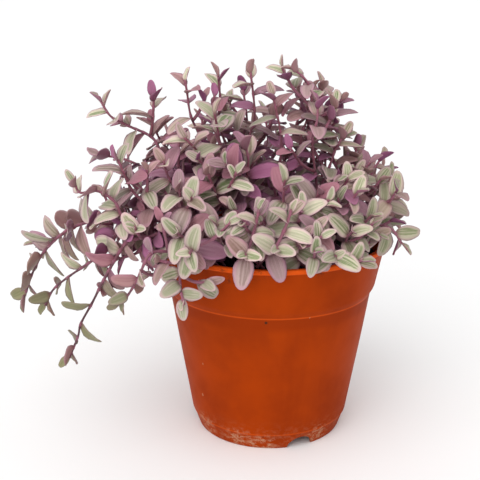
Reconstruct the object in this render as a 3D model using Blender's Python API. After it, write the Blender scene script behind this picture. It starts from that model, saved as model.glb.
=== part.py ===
"""A potted turtle vine: an orange nursery pot, its soil, and a mound of leafy stems that trail to the left.

The origin is the centre of the pot's underside, on the surface that it stands on. +Z is up and -Y is
the front. Lengths are in millimetres until mesh_object turns them into metres.
"""

import math
import random

import bmesh
import bpy
import numpy as np
from mathutils import Vector
from mathutils.bvhtree import BVHTree

MM = 0.001

# The pot: outer radii and the heights where they change
POT_HEIGHT = 108.0
LIP_RADIUS = 63.5
BAND_TOP_RADIUS = 61.8
BAND_TOP_Z = 105.2
BAND_FOOT_RADIUS = 57.2
BAND_FOOT_Z = 83.0
BODY_TOP_RADIUS = 55.0
BODY_TOP_Z = 79.5
BODY_FOOT_RADIUS = 43.2
BODY_FOOT_Z = 9.5
RING_TOP_RADIUS = 42.0
RING_TOP_Z = 7.0
FOOT_RADIUS = 39.6
WALL = 1.4
FLOOR_Z = 7.0
PAD_RADIUS = 15.0
PAD_DRAFT = 2.5
RING_DRAFT = 1.2
CORNER_DEPTH = 1.0
POT_SIDES = 32
SOIL_SIDES = 16

# Water leaves through four holes in the floor and three notches in the foot ring
NOTCH_WIDTH = 14.4
NOTCH_HEIGHT = 6.4
NOTCH_AZIMUTHS = (-67.0, 53.0, 173.0)
DRAIN_RADIUS = 4.0
DRAIN_CIRCLE = 27.5
DRAIN_AZIMUTHS = (20.0, 110.0, 200.0, 290.0)
CUT_PAST = 2.0

# The soil, which stops short of the rim
SOIL_Z = 97.5
SOIL_RELIEF = 1.0
SEAT_GAP = 0.3

# Stems. A rooted one is upright for BURIED below the soil's top and STRAIGHT above it.
STEM_SIDES = 4
STEM_RADIUS = 1.0
TIP_RADIUS = 0.7
BURIED = 12.0
STRAIGHT = 3.0
HOLE_GAP = 0.45
RING_SPACING = 18.5
LINE_STEP = 1.5
BEND_SPACING = 18.0
WANDER = 0.085
ROOT_LIFT = 22.0
SIDE_LIFT = (4.0, 8.0)
STEM_TRIES = 90
TRY_SHIFT = 0.1

# Where leaves stand: from the tip down, ever wider apart, and none near the foot, least so in the middle
TIP_LEAF = 1.2
FIRST_GAP = 2.4
GAP_GROWTH = 1.5
BARE_FOOT = 14.0
SIDE_BARE_FOOT = 7.0
SHADE_RADIUS = 50.0
SHADE_SHARE = 0.5

# How a leaf stands and bends, in degrees. A young one near the tip stands up, and an old one spreads.
LEAF_TURN = 142.0
GROWN_ORDER = 3.0
YOUNG_SPREAD = 24.0
MORE_SPREAD = 50.0
SPREAD_WANDER = 9.0
DROOP = 0.18
YOUNG_LENGTH = 0.55
LENGTH_RANGE = (0.88, 1.08)
ARCH_RANGE = (0.25, 0.75)
YOUNG_ARCH = 0.4
FOLD_RANGE = (10.0, 24.0)
YOUNG_FOLD = 16.0
LEAF_WIDTH_SHARE = 0.58
LEAF_THICKNESS = 1.1
CLEARANCE = 0.35
OWN_CLEARANCE = 0.1
FOOT_OUT = 0.4
LEAF_TRIES = 30
TURN_WANDER = 0.12
TRY_TURN = 0.05
TRY_SHRINK = 0.012
SEED = 11
UP = np.array((0.0, 0.0, 1.0))
MOUND_HEART = np.array((-6.0, 0.0, 108.0))
LIGHT = np.array((-0.1, -0.55, 0.83))

# How much the upper sides of a group's leaves turn from the stem's tip outwards and to the light
LIGHT_SHARE = {"front": 1.0, "right": 0.8, "top": 0.35, "left": 0.75, "back": 0.6}
TIP_PULL_LOST = 0.5
OUTWARD_PULL = 0.6
LIGHT_PULL = 0.5
OLD_LIGHT_PULL = 0.3

# Each shoot: its name, where it stands in the soil (x, y) or the shoot and the share of its length that it
# branches from, the points that it passes through (x, y, z), the length of its oldest leaves, and their gap.
SHOOTS = (
    (
        "left_long", (-32, -30),
        ((-53, -43, 121), (-71, -50, 119), (-81, -50, 104),
         (-90, -50, 87), (-98, -50, 69), (-103, -50, 57)),
        14, 11,
    ),
    (
        "left_near", (-26, -42),
        ((-49, -58, 116), (-59, -66, 117), (-65, -68, 106), (-70, -68, 97), (-75, -68, 92)),
        12, 11,
    ),
    (
        "left_thin", (-40, -20),
        ((-61, -30, 121), (-77, -36, 120), (-91, -38, 105),
         (-104, -38, 96), (-112, -38, 89), (-116, -38, 81)),
        15, 8.5,
    ),
    (
        "left_reach", (-46, -6),
        ((-64, -12, 121), (-84, -16, 124), (-107, -18, 115),
         (-119, -18, 104), (-126, -18, 92), (-131, -18, 79)),
        17, 8,
    ),
    (
        "left_curl", (-34, -38),
        ((-60, -40, 117), (-72, -44, 126), (-79, -46, 139),
         (-87, -46, 143), (-94, -44, 144), (-98, -44, 149)),
        15, 9,
    ),
    (
        "left_tall", (-30, -22),
        ((-60, -30, 116), (-64, -34, 130), (-69, -36, 142), (-76, -36, 153)),
        18, 9,
    ),
    (
        "left_crown", (-34, 8),
        ((-50, 8, 142), (-63, 4, 160), (-76, 2, 167), (-84, 0, 172), (-89, 0, 180)),
        15, 9,
    ),
    ("left_high", (-28, 18), ((-48, 16, 142), (-59, 14, 156), (-64, 14, 167)), 16, 9),
    ("left_back", (-44, 16), ((-65, 22, 135), (-79, 26, 143), (-96, 28, 146)), 15, 8),
    ("left_sprig", ("left_reach", 0.2), ((-64, -2, 134), (-67, -4, 145)), 10, 8),
    ("left_low", (-48, 6), ((-68, 6, 116), (-94, 5, 116), (-113, 2, 107), (-126, 2, 102)), 16, 8),
    ("top_1", (-14, 6), ((-34, 4, 148), (-42, 2, 171), (-44, 0, 185), (-45, 0, 191)), 16, 9),
    ("top_2", (-6, 16), ((-25, 14, 157), (-27, 14, 178), (-28, 12, 192)), 16, 9),
    ("top_3", (2, 6), ((-11, 4, 159), (-9, 2, 178), (-11, 0, 195)), 16, 9),
    ("top_4", (16, 10), ((16, 6, 158), (21, 4, 179), (19, 2, 189), (11, 0, 197)), 14, 9),
    ("top_5", (8, -4), ((5, -8, 161), (2, -10, 177), (0, -10, 185)), 16, 9),
    ("top_6", ("top_4", 0.3), ((19, 17, 152), (18, 18, 181)), 14, 9),
    ("top_7", (28, 4), ((29, 2, 159), (32, 0, 173), (33, 0, 179)), 16, 9),
    ("top_8", (22, -8), ((21, -10, 159), (23, -12, 172), (23, -12, 181)), 16, 9),
    ("top_9", (32, -4), ((31, -4, 147), (34, -6, 157), (38, -6, 164)), 16, 9),
    ("top_10", (36, 10), ((40, 8, 136), (45, 8, 148), (46, 8, 155)), 16, 9),
    ("right_1", (38, -10), ((43, -10, 132), (47, -12, 144), (51, -12, 150)), 17, 7.5),
    ("right_2", (46, -4), ((52, -8, 129), (57, -10, 138), (61, -10, 142)), 17, 7.5),
    ("right_3", (46, -16), ((55, -18, 127), (63, -20, 133)), 17, 7.5),
    ("right_4", (42, -26), ((51, -28, 120), (60, -32, 120), (66, -32, 112)), 17, 7.5),
    ("right_5", (50, 6), ((58, 3, 117), (65, 1, 119)), 17, 7.5),
    ("front_1", (-24, -36), ((-42, -53, 120), (-46, -64, 127)), 18, 6.5),
    ("front_2", (-12, -36), ((-28, -48, 121), (-28, -58, 130)), 18, 6.5),
    ("front_3", ("front_1", 0.3), ((-39, -60, 114), (-42, -75, 122)), 18, 6),
    ("front_drip", ("front_1", 0.5), ((-47, -60, 113), (-48, -61, 102), (-43, -65, 95)), 14, 6),
    ("front_4", (-4, -48), ((-13, -61, 114), (-14, -76, 120)), 17, 6),
    ("front_5", (4, -40), ((-5, -51, 123), (-6, -58, 134)), 18, 6.5),
    ("front_6", ("front_4", 0.25), ((-2, -60, 116), (1, -73, 122)), 17, 6),
    ("front_7", (16, -42), ((11, -55, 116), (12, -65, 123)), 18, 6.5),
    ("front_8", (22, -34), ((19, -49, 120), (20, -58, 128)), 18, 6.5),
    ("front_9", (34, -34), ((36, -45, 118), (38, -54, 125)), 18, 6.5),
    ("front_10", ("front_7", 0.3), ((26, -58, 114), (29, -71, 118)), 17, 6),
    ("front_11", (6, -28), ((6, -39, 132), (5, -48, 149)), 18, 7),
    ("front_12", (16, -24), ((18, -37, 129), (22, -46, 142)), 18, 6.5),
    ("front_13", ("front_11", 0.4), ((12, -46, 127), (13, -55, 138)), 16, 6.5),
    ("front_14", (-26, -14), ((-44, -38, 131), (-46, -48, 145)), 18, 6.5),
    ("front_15", (-12, -24), ((-25, -33, 133), (-32, -42, 151)), 18, 7),
    ("front_16", (-4, -12), ((-23, -20, 146), (-29, -27, 178)), 18, 7),
    ("front_17", (28, -22), ((31, -32, 134), (37, -37, 147)), 18, 6.5),
    ("front_18", ("front_17", 0.35), ((42, -38, 122), (48, -47, 131)), 16, 6.5),
    ("front_19", (0, -4), ((-12, -23, 143), (-14, -29, 163)), 18, 7),
    ("front_20", (-14, -8), ((-34, -19, 146), (-44, -29, 166)), 18, 7),
    ("front_21", (-20, -18), ((-45, -28, 134), (-54, -37, 156)), 18, 7),
)

# The stems of the back half stand and lean by a rule, in rows from the middle outwards: the row's radius
# in the soil, its number of stems, its first and last azimuth, its tips' reach and height, and the gap.
BACK_ROWS = (
    (24, 4, 40, 150, 36, 180, 14),
    (36, 5, 15, 165, 58, 160, 14),
    (50, 7, 20, 172, 77, 128, 11),
)
BACK_LEAF = 16
BACK_HEIGHT_WANDER = (-9, 7)
BACK_BEND = 0.55
BACK_BEND_HEIGHT = (0.62, 0.72)

ORANGE = (0.62, 0.13, 0.02, 1.0)
SOIL_BROWN = (0.03, 0.022, 0.018, 1.0)
LEAF_PALE = (0.46, 0.49, 0.33, 1.0)
LEAF_MAUVE = (0.38, 0.27, 0.3, 1.0)


def clear_scene():
    for obj in list(bpy.data.objects):
        bpy.data.objects.remove(obj)


def material(name, colour, roughness):
    made = bpy.data.materials.new(name)
    made.use_nodes = True
    shader = made.node_tree.nodes["Principled BSDF"]
    shader.inputs["Base Color"].default_value = colour
    shader.inputs["Roughness"].default_value = roughness
    shader.inputs["Metallic"].default_value = 0.0
    return made


def mesh_object(name, points, faces, finish, origin=(0.0, 0.0, 0.0)):
    """An object from points in millimetres, with its own origin there and its faces pointing out."""
    mesh = bpy.data.meshes.new(name)
    local = (np.asarray(points, float) - np.asarray(origin, float)) * MM
    mesh.from_pydata([tuple(p) for p in local], [], [tuple(f) for f in faces])
    shell = bmesh.new()
    shell.from_mesh(mesh)
    bmesh.ops.recalc_face_normals(shell, faces=shell.faces)
    shell.to_mesh(mesh)
    shell.free()
    if finish:
        mesh.materials.append(finish)
    obj = bpy.data.objects.new(name, mesh)
    obj.location = Vector(origin) * MM
    bpy.context.scene.collection.objects.link(obj)
    return obj


def unit(v):
    return v / np.linalg.norm(v)


def at_radius(radius, azimuth, z=0.0):
    """The point at that radius and azimuth, in degrees from +X."""
    a = math.radians(azimuth)
    return np.array((radius * math.cos(a), radius * math.sin(a), z))


# The centre lines of the stems


def smooth_line(points, lift):
    """A Catmull-Rom curve through the points, evenly resampled. It starts out along lift."""
    p = np.asarray(points, float)
    first = p[0] - np.asarray(lift, float)
    last = 2 * p[-1] - p[-2]
    p = np.vstack((first, p, last))
    t = np.linspace(0, 1, 16, endpoint=False)[:, None]
    runs = []
    for a, b, c, d in zip(p[:-3], p[1:-2], p[2:-1], p[3:]):
        square = 2 * a - 5 * b + 4 * c - d
        cube = 3 * b - a - 3 * c + d
        runs.append(b + 0.5 * ((c - a) * t + square * t**2 + cube * t**3))
    line = np.vstack((*runs, p[-2]))
    along = np.concatenate(((0,), np.cumsum(np.linalg.norm(np.diff(line, axis=0), axis=1))))
    places = np.linspace(0, along[-1], max(3, round(along[-1] / LINE_STEP) + 1))
    return np.stack([np.interp(places, along, line[:, k]) for k in range(3)], axis=1)


def back_shoots():
    """The rows of the back half, as SHOOTS has them."""
    draw = random.Random(SEED)
    made = []
    for radius, count, first, last, reach, height, gap in BACK_ROWS:
        for k in range(count):
            azimuth = first + (last - first) * k / (count - 1) + draw.uniform(-5, 5)
            root = at_radius(radius + draw.uniform(-3, 3), azimuth)
            top = height + draw.uniform(*BACK_HEIGHT_WANDER)
            tip = at_radius(reach + draw.uniform(-5, 6), azimuth + draw.uniform(-9, 9), top)
            middle = root + (tip - root) * BACK_BEND
            middle[2] = SOIL_Z + (top - SOIL_Z) * draw.uniform(*BACK_BEND_HEIGHT)
            way = (tuple(middle), tuple(tip))
            made.append((f"back_{len(made) + 1}", (root[0], root[1]), way, BACK_LEAF, gap))
    return made


def apart(a, b):
    """The least distance between two runs of points."""
    return math.sqrt(((a[:, None] - b[None]) ** 2).sum(axis=2).min())


def inner_radius(z):
    """The pot's inner radius at a height."""
    up = inner_wall()[::-1]
    return np.interp(z, [p[1] for p in up], [p[0] for p in up])


def outer_radius(z):
    """The pot's outer radius at a height."""
    up = outer_wall()
    return np.interp(z, [p[1] for p in up], [p[0] for p in up])


def in_pot(points, margin):
    """Whether any of the points lies in the pot, the soil or the floor, or within the margin of them."""
    r = np.hypot(points[:, 0], points[:, 1])
    z = points[:, 2]
    near_wall = (r < outer_radius(z) + margin) & (r > inner_radius(z) - margin)
    beside_wall = near_wall & (z < POT_HEIGHT + margin)
    under_soil = (r <= inner_radius(z)) & (z < SOIL_Z + SOIL_RELIEF + margin)
    return bool((beside_wall | under_soil | (z < 2 * margin)).any())


class Shoot:
    """One shoot: the node that it belongs to, its centre line, and its leaves."""

    def __init__(self, node, line, leaf, gap, rooted):
        self.node = node
        self.line = line
        self.leaf = leaf
        self.gap = gap
        self.rooted = rooted
        self.leaves = []
        steps = np.linalg.norm(np.diff(line, axis=0), axis=1)
        self.along = np.concatenate(((0,), np.cumsum(steps)))
        self.length = self.along[-1]

        self.rings = np.linspace(0, self.length, max(2, round(self.length / RING_SPACING)) + 1)
        self.ends = np.array([self.at(s) for s in self.rings])
        self.stretch = np.array([self.chord(s) for s in np.arange(0, self.length, LINE_STEP)])

    def at(self, s):
        """The point of the smooth line at that distance from the foot."""
        return np.array([np.interp(s, self.along, self.line[:, k]) for k in range(3)])

    def chord(self, s):
        """The point of the stem's straight stretches there."""
        return np.array([np.interp(s, self.rings, self.ends[:, k]) for k in range(3)])

    def heading(self, s):
        """The unit direction of growth there."""
        return unit(self.at(min(s + LINE_STEP, self.length)) - self.at(max(s - LINE_STEP, 0)))

    def radius(self, s):
        return STEM_RADIUS + (TIP_RADIUS - STEM_RADIUS) * s / self.length


def with_bends(points, draw):
    """The points, with one more between each two that lie far apart, a little off the straight line."""
    made = [points[0]]
    for a, b in zip(points, points[1:]):
        gap = np.linalg.norm(b - a)
        if gap > BEND_SPACING:
            made.append((a + b) / 2 + [draw.gauss(0, WANDER * gap) for _ in range(3)])
        made.append(b)
    return made


def grow_shoot(row, node, start, lift, others, draw):
    """The row's shoot from start, its way points moved until it is clear of the others and the pot."""
    name, foot, way, leaf, gap = row
    for attempt in range(STEM_TRIES):
        shift = attempt * TRY_SHIFT
        moved = [np.array(p, float) + [draw.gauss(0, shift) for _ in range(3)] for p in way]
        line = smooth_line(with_bends([start, *moved], draw), lift)
        shoot = Shoot(node, line, leaf, gap, not isinstance(foot[0], str))
        free = shoot.stretch[shoot.stretch[:, 2] > SOIL_Z + STRAIGHT + 0.5]
        if in_pot(free, STEM_RADIUS + CLEARANCE):
            continue
        if all(apart(free, other.stretch) > 2 * STEM_RADIUS + 2 * CLEARANCE for other in others):
            return shoot
    raise RuntimeError(f"shoot {name} finds no clear way")


def grow_shoots():
    """Every shoot, with no leaves yet."""
    draw = random.Random(SEED)
    shoots, by_name = [], {}
    for row in (*SHOOTS, *back_shoots()):
        name, foot, way = row[:3]
        if isinstance(foot[0], str):
            parent = by_name[foot[0]]
            place = parent.length * foot[1]
            start = parent.chord(place)
            on, away = SIDE_LIFT
            lift = on * parent.heading(place) + away * unit(np.array(way[0]) - start)
            others = [s for s in shoots if s.node != parent.node]
            shoot = grow_shoot(row, parent.node, start, lift, others, draw)
        else:
            start = np.array((*foot, SOIL_Z + STRAIGHT))
            shoot = grow_shoot(row, name, start, ROOT_LIFT * UP, shoots, draw)
        shoots.append(shoot)
        by_name[name] = shoot
    return shoots


# Leaves


class Leaf:
    """A blade: its foot, the way it points, its upper side's normal, its length and its bends."""

    def __init__(self, foot, along, normal, length, arch, fold):
        self.foot = foot
        self.along = along
        self.normal = normal
        self.side = np.cross(normal, along)
        self.arch = arch
        self.fold = fold
        self.resize(length)

    def resize(self, length):
        self.length = length
        self.width = length * LEAF_WIDTH_SHARE

    def point(self, u, v):
        """The point of the middle surface at share u of the length and v, from -1 to 1, of the half width.

        The midrib rises from the stem and bends down by the arch. The halves rise from it by the fold.
        """
        turned = self.arch * (u - 0.35)
        reach = self.length * u * (1 - self.arch**2 * u * u / 10)
        rise = -0.5 * self.length * u * turned
        half = 0.5 * self.width * outline(u)
        across = half * v * math.cos(self.fold)
        lift = half * abs(v) * math.sin(self.fold)
        return self.foot + self.along * reach + self.normal * (rise + lift) + self.side * across


def outline(u):
    """The blade's half width at u, as a share of its widest: an egg shape, widest at two fifths."""
    return max(0.0, math.sin(math.pi * u**0.8)) ** 0.65


BLADE_STATIONS = (0.24, 0.7)
RIDGE_STATION = 0.45
FOOT_SUNK = 0.2
BLADE_FACES = (
    (0, 1, 6), (1, 2, 6), (2, 3, 6), (3, 4, 6), (4, 5, 6), (5, 0, 6),
    (1, 0, 7), (2, 1, 7), (3, 2, 7), (4, 3, 7), (5, 4, 7), (0, 5, 7),
)


def blade(leaf, swell=0.0, start=0.0):
    """The blade as a closed solid: a rim of six points, its foot sunk in, and a point above and below."""
    near, far = BLADE_STATIONS
    foot = leaf.point(start, 0) - leaf.along * (FOOT_SUNK if start == 0 else 0)
    rim = [
        foot,
        leaf.point(near, 1),
        leaf.point(far, 1),
        leaf.point(1.0, 0),
        leaf.point(far, -1),
        leaf.point(near, -1),
    ]
    middle = leaf.point(RIDGE_STATION, 0)
    out = swell / (0.5 * leaf.width)
    rim = [p + (p - middle) * out for p in rim]
    rise = leaf.normal * (LEAF_THICKNESS / 2 + swell)
    return np.array([*rim, middle + rise, middle - rise])


# The rings of a stem start from the direction that is square to its first heading and to RING_START
RING_START = (0.0, 0.37, 0.11)
RING_TURN = 0.785


def tree(points, faces):
    return BVHTree.FromPolygons([tuple(p) for p in points], faces)


def tube(line, radii, sides):
    """A closed tube round a line, with its rings turned as little as possible from one to the next."""
    heading = np.gradient(line, axis=0)
    heading /= np.linalg.norm(heading, axis=1)[:, None]
    side = np.cross(heading[0], RING_START)
    angles = RING_TURN + 2 * np.pi * np.arange(sides) / sides
    rings = []
    for p, h, r in zip(line, heading, radii):
        side = unit(side - h * (side @ h))
        up = np.cross(h, side)
        rings.append(p + r * (np.outer(np.cos(angles), side) + np.outer(np.sin(angles), up)))
    points = np.vstack(rings)
    faces = [tuple(reversed(range(sides)))]
    for k in range(len(line) - 1):
        for i in range(sides):
            j = (i + 1) % sides
            a, b = k * sides, (k + 1) * sides
            faces.append((a + i, a + j, b + j, b + i))
    faces.append(tuple(range(len(points) - sides, len(points))))
    return points, faces


def stem_solid(shoot):
    """The shoot's stem: a tube with few rings, and for a rooted one its straight foot in the soil."""
    line = [shoot.at(s) for s in shoot.rings]
    radii = [shoot.radius(s) for s in shoot.rings]
    if shoot.rooted:
        line.insert(0, line[0] - (0, 0, BURIED + STRAIGHT))
        radii.insert(0, STEM_RADIUS)
    return tube(np.array(line), radii, STEM_SIDES)


def leaf_places(shoot):
    """Distances from the tip at which leaves stand, wider apart down to the shoot's full gap."""
    shaded = max(0.0, SHADE_RADIUS - np.linalg.norm(shoot.line[0][:2])) * SHADE_SHARE
    bare = BARE_FOOT + shaded if shoot.rooted else SIDE_BARE_FOOT
    places, step = [TIP_LEAF], FIRST_GAP
    while places[-1] + step < shoot.length - bare:
        places.append(places[-1] + step)
        step = min(shoot.gap, step * GAP_GROWTH)
    return places


def leaf_at(shoot, s, order, turn, draw):
    """A leaf on the shoot at s. Young ones near the tip are small and upright, old ones spread and bend."""
    heading = shoot.heading(s)
    side = unit(np.cross(heading, (0.31, 0.52, 0.79)))
    up = np.cross(heading, side)
    radial = side * math.cos(turn) + up * math.sin(turn)
    age = min(1.0, order / GROWN_ORDER)
    spread = math.radians(YOUNG_SPREAD + MORE_SPREAD * age + draw.uniform(-SPREAD_WANDER, SPREAD_WANDER))
    along = heading * math.cos(spread) + radial * math.sin(spread)
    along = unit(along - UP * DROOP * age)
    foot = shoot.chord(s) + along * FOOT_OUT * shoot.radius(s)
    lit = LIGHT_SHARE[shoot.node.split("_")[0]]
    outwards = OUTWARD_PULL * unit(foot - MOUND_HEART) + (LIGHT_PULL + OLD_LIGHT_PULL * age) * LIGHT
    towards = (1 - TIP_PULL_LOST * lit) * heading + lit * outwards
    normal = unit(towards - along * (towards @ along))
    length = shoot.leaf * (YOUNG_LENGTH + (1 - YOUNG_LENGTH) * age) * draw.uniform(*LENGTH_RANGE)
    arch = draw.uniform(*ARCH_RANGE) * (YOUNG_ARCH + (1 - YOUNG_ARCH) * age)
    fold = math.radians(draw.uniform(*FOLD_RANGE) + YOUNG_FOLD * (1 - age))
    return Leaf(foot, along, normal, length, arch, fold)


class Grown:
    """What has grown so far, to test a new leaf against."""

    def __init__(self, shoots):
        self.centres, self.reach, self.nodes, self.trees = [], [], [], []
        self.add(*turned(pot_profile(), POT_SIDES), "pot")
        self.add(*turned(soil_profile(), SOIL_SIDES), "soil")
        following = [(i, (i + 1) % STEM_SIDES) for i in range(STEM_SIDES)]
        sides = [(i, j, STEM_SIDES + j, STEM_SIDES + i) for i, j in following]
        for shoot in shoots:
            rings = stem_solid(shoot)[0].reshape(-1, STEM_SIDES, 3)
            for low, high in zip(rings, rings[1:]):
                self.add(np.vstack((low, high)), sides, shoot.node)

    def add(self, points, faces, node):
        points = np.asarray(points)
        centre = points.mean(axis=0)
        self.centres.append(centre)
        self.reach.append(np.linalg.norm(points - centre, axis=1).max())
        self.nodes.append(node)
        self.trees.append(tree(points, faces))

    def meets(self, node, wide, bare):
        """Whether the blade, swollen to wide, meets another node, or its outer part, bare, its own node."""
        if in_pot(wide, CLEARANCE):
            return True
        centre = wide.mean(axis=0)
        reach = np.linalg.norm(wide - centre, axis=1).max()
        far = np.linalg.norm(np.array(self.centres) - centre, axis=1)
        wide_tree, bare_tree = tree(wide, BLADE_FACES), tree(bare, BLADE_FACES)
        for k in np.nonzero(far < np.array(self.reach) + reach)[0]:
            if self.nodes[k] != node:
                if wide_tree.overlap(self.trees[k]):
                    return True
            elif bare_tree.overlap(self.trees[k]):
                return True
        return False


def grow_leaves(shoots):
    """Leaves on every shoot, from the tips down. One that would cross another is turned and made less."""
    draw = random.Random(SEED + 1)
    grown = Grown(shoots)
    plans = [(shoot, leaf_places(shoot), draw.uniform(0, 6.28)) for shoot in shoots]
    for order in range(max(len(places) for _, places, _ in plans)):
        for shoot, places, first in plans:
            if order >= len(places):
                continue
            turn = first + order * math.radians(LEAF_TURN)
            for attempt in range(LEAF_TRIES):
                wander = draw.gauss(0, TURN_WANDER + TRY_TURN * attempt)
                leaf = leaf_at(shoot, shoot.length - places[order], order, turn + wander, draw)
                leaf.resize(leaf.length * (1 - TRY_SHRINK * attempt))
                outer = blade(leaf, OWN_CLEARANCE, start=0.2)
                if not grown.meets(shoot.node, blade(leaf, CLEARANCE), outer):
                    shoot.leaves.append(leaf)
                    grown.add(blade(leaf), BLADE_FACES, shoot.node)
                    break


# The pot and the soil


def turned(profile, sides):
    """A closed surface of revolution from a profile of (radius, z) that starts and ends on the axis."""
    azimuths = 2 * np.pi * np.arange(sides) / sides
    points = [(0.0, 0.0, profile[0][1])]
    for r, z in profile[1:-1]:
        points.extend((r * math.cos(a), r * math.sin(a), z) for a in azimuths)
    points.append((0.0, 0.0, profile[-1][1]))
    last = len(points) - 1
    faces = []
    for i in range(sides):
        j = (i + 1) % sides
        faces.append((0, 1 + j, 1 + i))
        for k in range(len(profile) - 3):
            a, b = 1 + k * sides, 1 + (k + 1) * sides
            faces.append((a + i, a + j, b + j, b + i))
        faces.append((last - sides + i, last - sides + j, last))
    return points, faces


def outer_wall():
    """The outside, from the foot ring up to the lip's top edge."""
    return (
        (FOOT_RADIUS, 0),
        (RING_TOP_RADIUS, RING_TOP_Z),
        (BODY_FOOT_RADIUS, BODY_FOOT_Z),
        (BODY_TOP_RADIUS, BODY_TOP_Z),
        (BAND_FOOT_RADIUS, BAND_FOOT_Z),
        (BAND_TOP_RADIUS, BAND_TOP_Z),
        (LIP_RADIUS, BAND_TOP_Z + 0.5),
        (LIP_RADIUS, POT_HEIGHT),
    )


def inner_wall():
    """The inside, from the lip's top edge down to the edge of the floor."""
    return (
        (BAND_TOP_RADIUS - WALL, POT_HEIGHT),
        (BAND_FOOT_RADIUS - WALL, BAND_FOOT_Z + 0.6),
        (BODY_TOP_RADIUS - WALL, BODY_TOP_Z + 0.6),
        (BODY_FOOT_RADIUS - WALL, BODY_FOOT_Z + 0.6),
        (RING_TOP_RADIUS - WALL - CORNER_DEPTH, FLOOR_Z + WALL),
    )


def pot_profile():
    """From the underside's middle round the outside, over the lip and down to the floor's middle."""
    ring = FOOT_RADIUS - WALL
    well = PAD_RADIUS - WALL
    pad = ((0, 0), (PAD_RADIUS, 0), (PAD_RADIUS + PAD_DRAFT, FLOOR_Z))
    channel = ((ring - RING_DRAFT, FLOOR_Z), (ring, 0))
    floor = ((well + PAD_DRAFT, FLOOR_Z + WALL), (well, WALL), (0, WALL))
    return (*pad, *channel, *outer_wall(), *inner_wall(), *floor)


def cut(target, cutter):
    """Takes the cutter out of the target and removes it."""
    boolean = target.modifiers.new("cut", "BOOLEAN")
    boolean.operation = "DIFFERENCE"
    boolean.solver = "EXACT"
    boolean.object = cutter
    apply_modifier(target, boolean)
    bpy.data.objects.remove(cutter)


def apply_modifier(obj, modifier):
    bpy.context.view_layer.objects.active = obj
    bpy.ops.object.modifier_apply(modifier=modifier.name)


def prism(name, corners, low, high):
    """A prism: the corners at low, and the same corners at high, as points."""
    count = len(corners)
    points = [low(c) for c in corners] + [high(c) for c in corners]
    faces = [tuple(reversed(range(count))), tuple(range(count, 2 * count))]
    faces += [(i, (i + 1) % count, count + (i + 1) % count, count + i) for i in range(count)]
    return mesh_object(name, points, faces, None)


def notch_cutter(azimuth):
    """An arch that runs outwards through the foot ring."""
    half = NOTCH_WIDTH / 2
    turns = np.radians((10, 40, 75, 105, 140, 170))
    arch = [(half * math.cos(a), NOTCH_HEIGHT * math.sin(a)) for a in turns]
    corners = [(half, -CUT_PAST), *arch, (-half, -CUT_PAST)]
    outwards, across = at_radius(1, azimuth), at_radius(1, azimuth + 90)

    def corner_at(radius):
        return lambda c: outwards * radius + across * c[0] + np.array((0, 0, c[1]))

    past = 3 * CUT_PAST
    return prism("notch", corners, corner_at(FOOT_RADIUS - past), corner_at(FOOT_RADIUS + past))


def upright(name, radius, sides, turn, middle, low, high):
    """An upright prism from low to high, with its corners at that radius round the middle."""
    corners = [middle + at_radius(radius, turn + 360 * k / sides) for k in range(sides)]
    return prism(name, corners, lambda c: c + low * UP, lambda c: c + high * UP)


def drain_cutter(azimuth):
    middle = at_radius(DRAIN_CIRCLE, azimuth)
    return upright("drain", DRAIN_RADIUS, 8, 0, middle, FLOOR_Z - CUT_PAST, FLOOR_Z + WALL + CUT_PAST)


def build_pot(finish):
    pot = mesh_object("pot", *turned(pot_profile(), POT_SIDES), finish)
    for azimuth in NOTCH_AZIMUTHS:
        cut(pot, notch_cutter(azimuth))
    for azimuth in DRAIN_AZIMUTHS:
        cut(pot, drain_cutter(azimuth))
    pot.data.shade_smooth()
    pot.data.set_sharp_from_angle(angle=math.radians(30))


def soil_profile():
    """The pot's inside, a seat's gap smaller, up to the soil's surface."""
    gap = SEAT_GAP
    well = PAD_RADIUS - WALL - gap
    edge = float(inner_radius(SOIL_Z)) - gap
    wall = [(r - gap, z + gap) for r, z in inner_wall()[:0:-1]]
    dip = (0.4 * edge, SOIL_Z - SOIL_RELIEF / 2)
    surface = ((edge, SOIL_Z - SOIL_RELIEF), (0.75 * edge, SOIL_Z), dip, (0, SOIL_Z))
    hub = ((0, WALL + gap), (well, WALL + gap), (well + PAD_DRAFT, FLOOR_Z + WALL + gap))
    return (*hub, *wall, *surface)


def build_soil(finish, shoots):
    """The soil, with a low relief and a plain hole for each stem."""
    soil = mesh_object("soil", *turned(soil_profile(), SOIL_SIDES), finish)
    floor = SOIL_Z - BURIED - SEAT_GAP
    for shoot in (s for s in shoots if s.rooted):
        middle = shoot.line[0] * (1, 1, 0)
        hole = upright("hole", STEM_RADIUS + HOLE_GAP, STEM_SIDES, 45, middle, floor, SOIL_Z + BURIED)
        cut(soil, hole)


def join(base, pieces):
    """Fuses the pieces with the base in one Boolean union."""
    group = bpy.data.collections.new("repeats")
    for piece in pieces:
        group.objects.link(piece)
    union = base.modifiers.new("union", "BOOLEAN")
    union.operation = "UNION"
    union.operand_type = "COLLECTION"
    union.solver = "EXACT"
    union.collection = group
    apply_modifier(base, union)
    for piece in pieces:
        bpy.data.objects.remove(piece)
    bpy.data.collections.remove(group)


def build_plant(shoots, pale, mauve):
    """A node for each rooted stem, its side shoots and leaves fused to it. The trailing side is mauve."""
    for root in (s for s in shoots if s.rooted):
        own = [s for s in shoots if s.node == root.node]
        finish = mauve if root.node.startswith("left") else pale
        name = f"leafy_stem_{root.node}"
        base = mesh_object(name, *stem_solid(root), finish, tuple(root.line[0]))
        pieces = [mesh_object("side_shoot", *stem_solid(s), finish) for s in own if s is not root]
        leaves = [leaf for s in own for leaf in s.leaves]
        pieces += [mesh_object("leaf", blade(leaf), BLADE_FACES, finish) for leaf in leaves]
        join(base, pieces)


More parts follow.
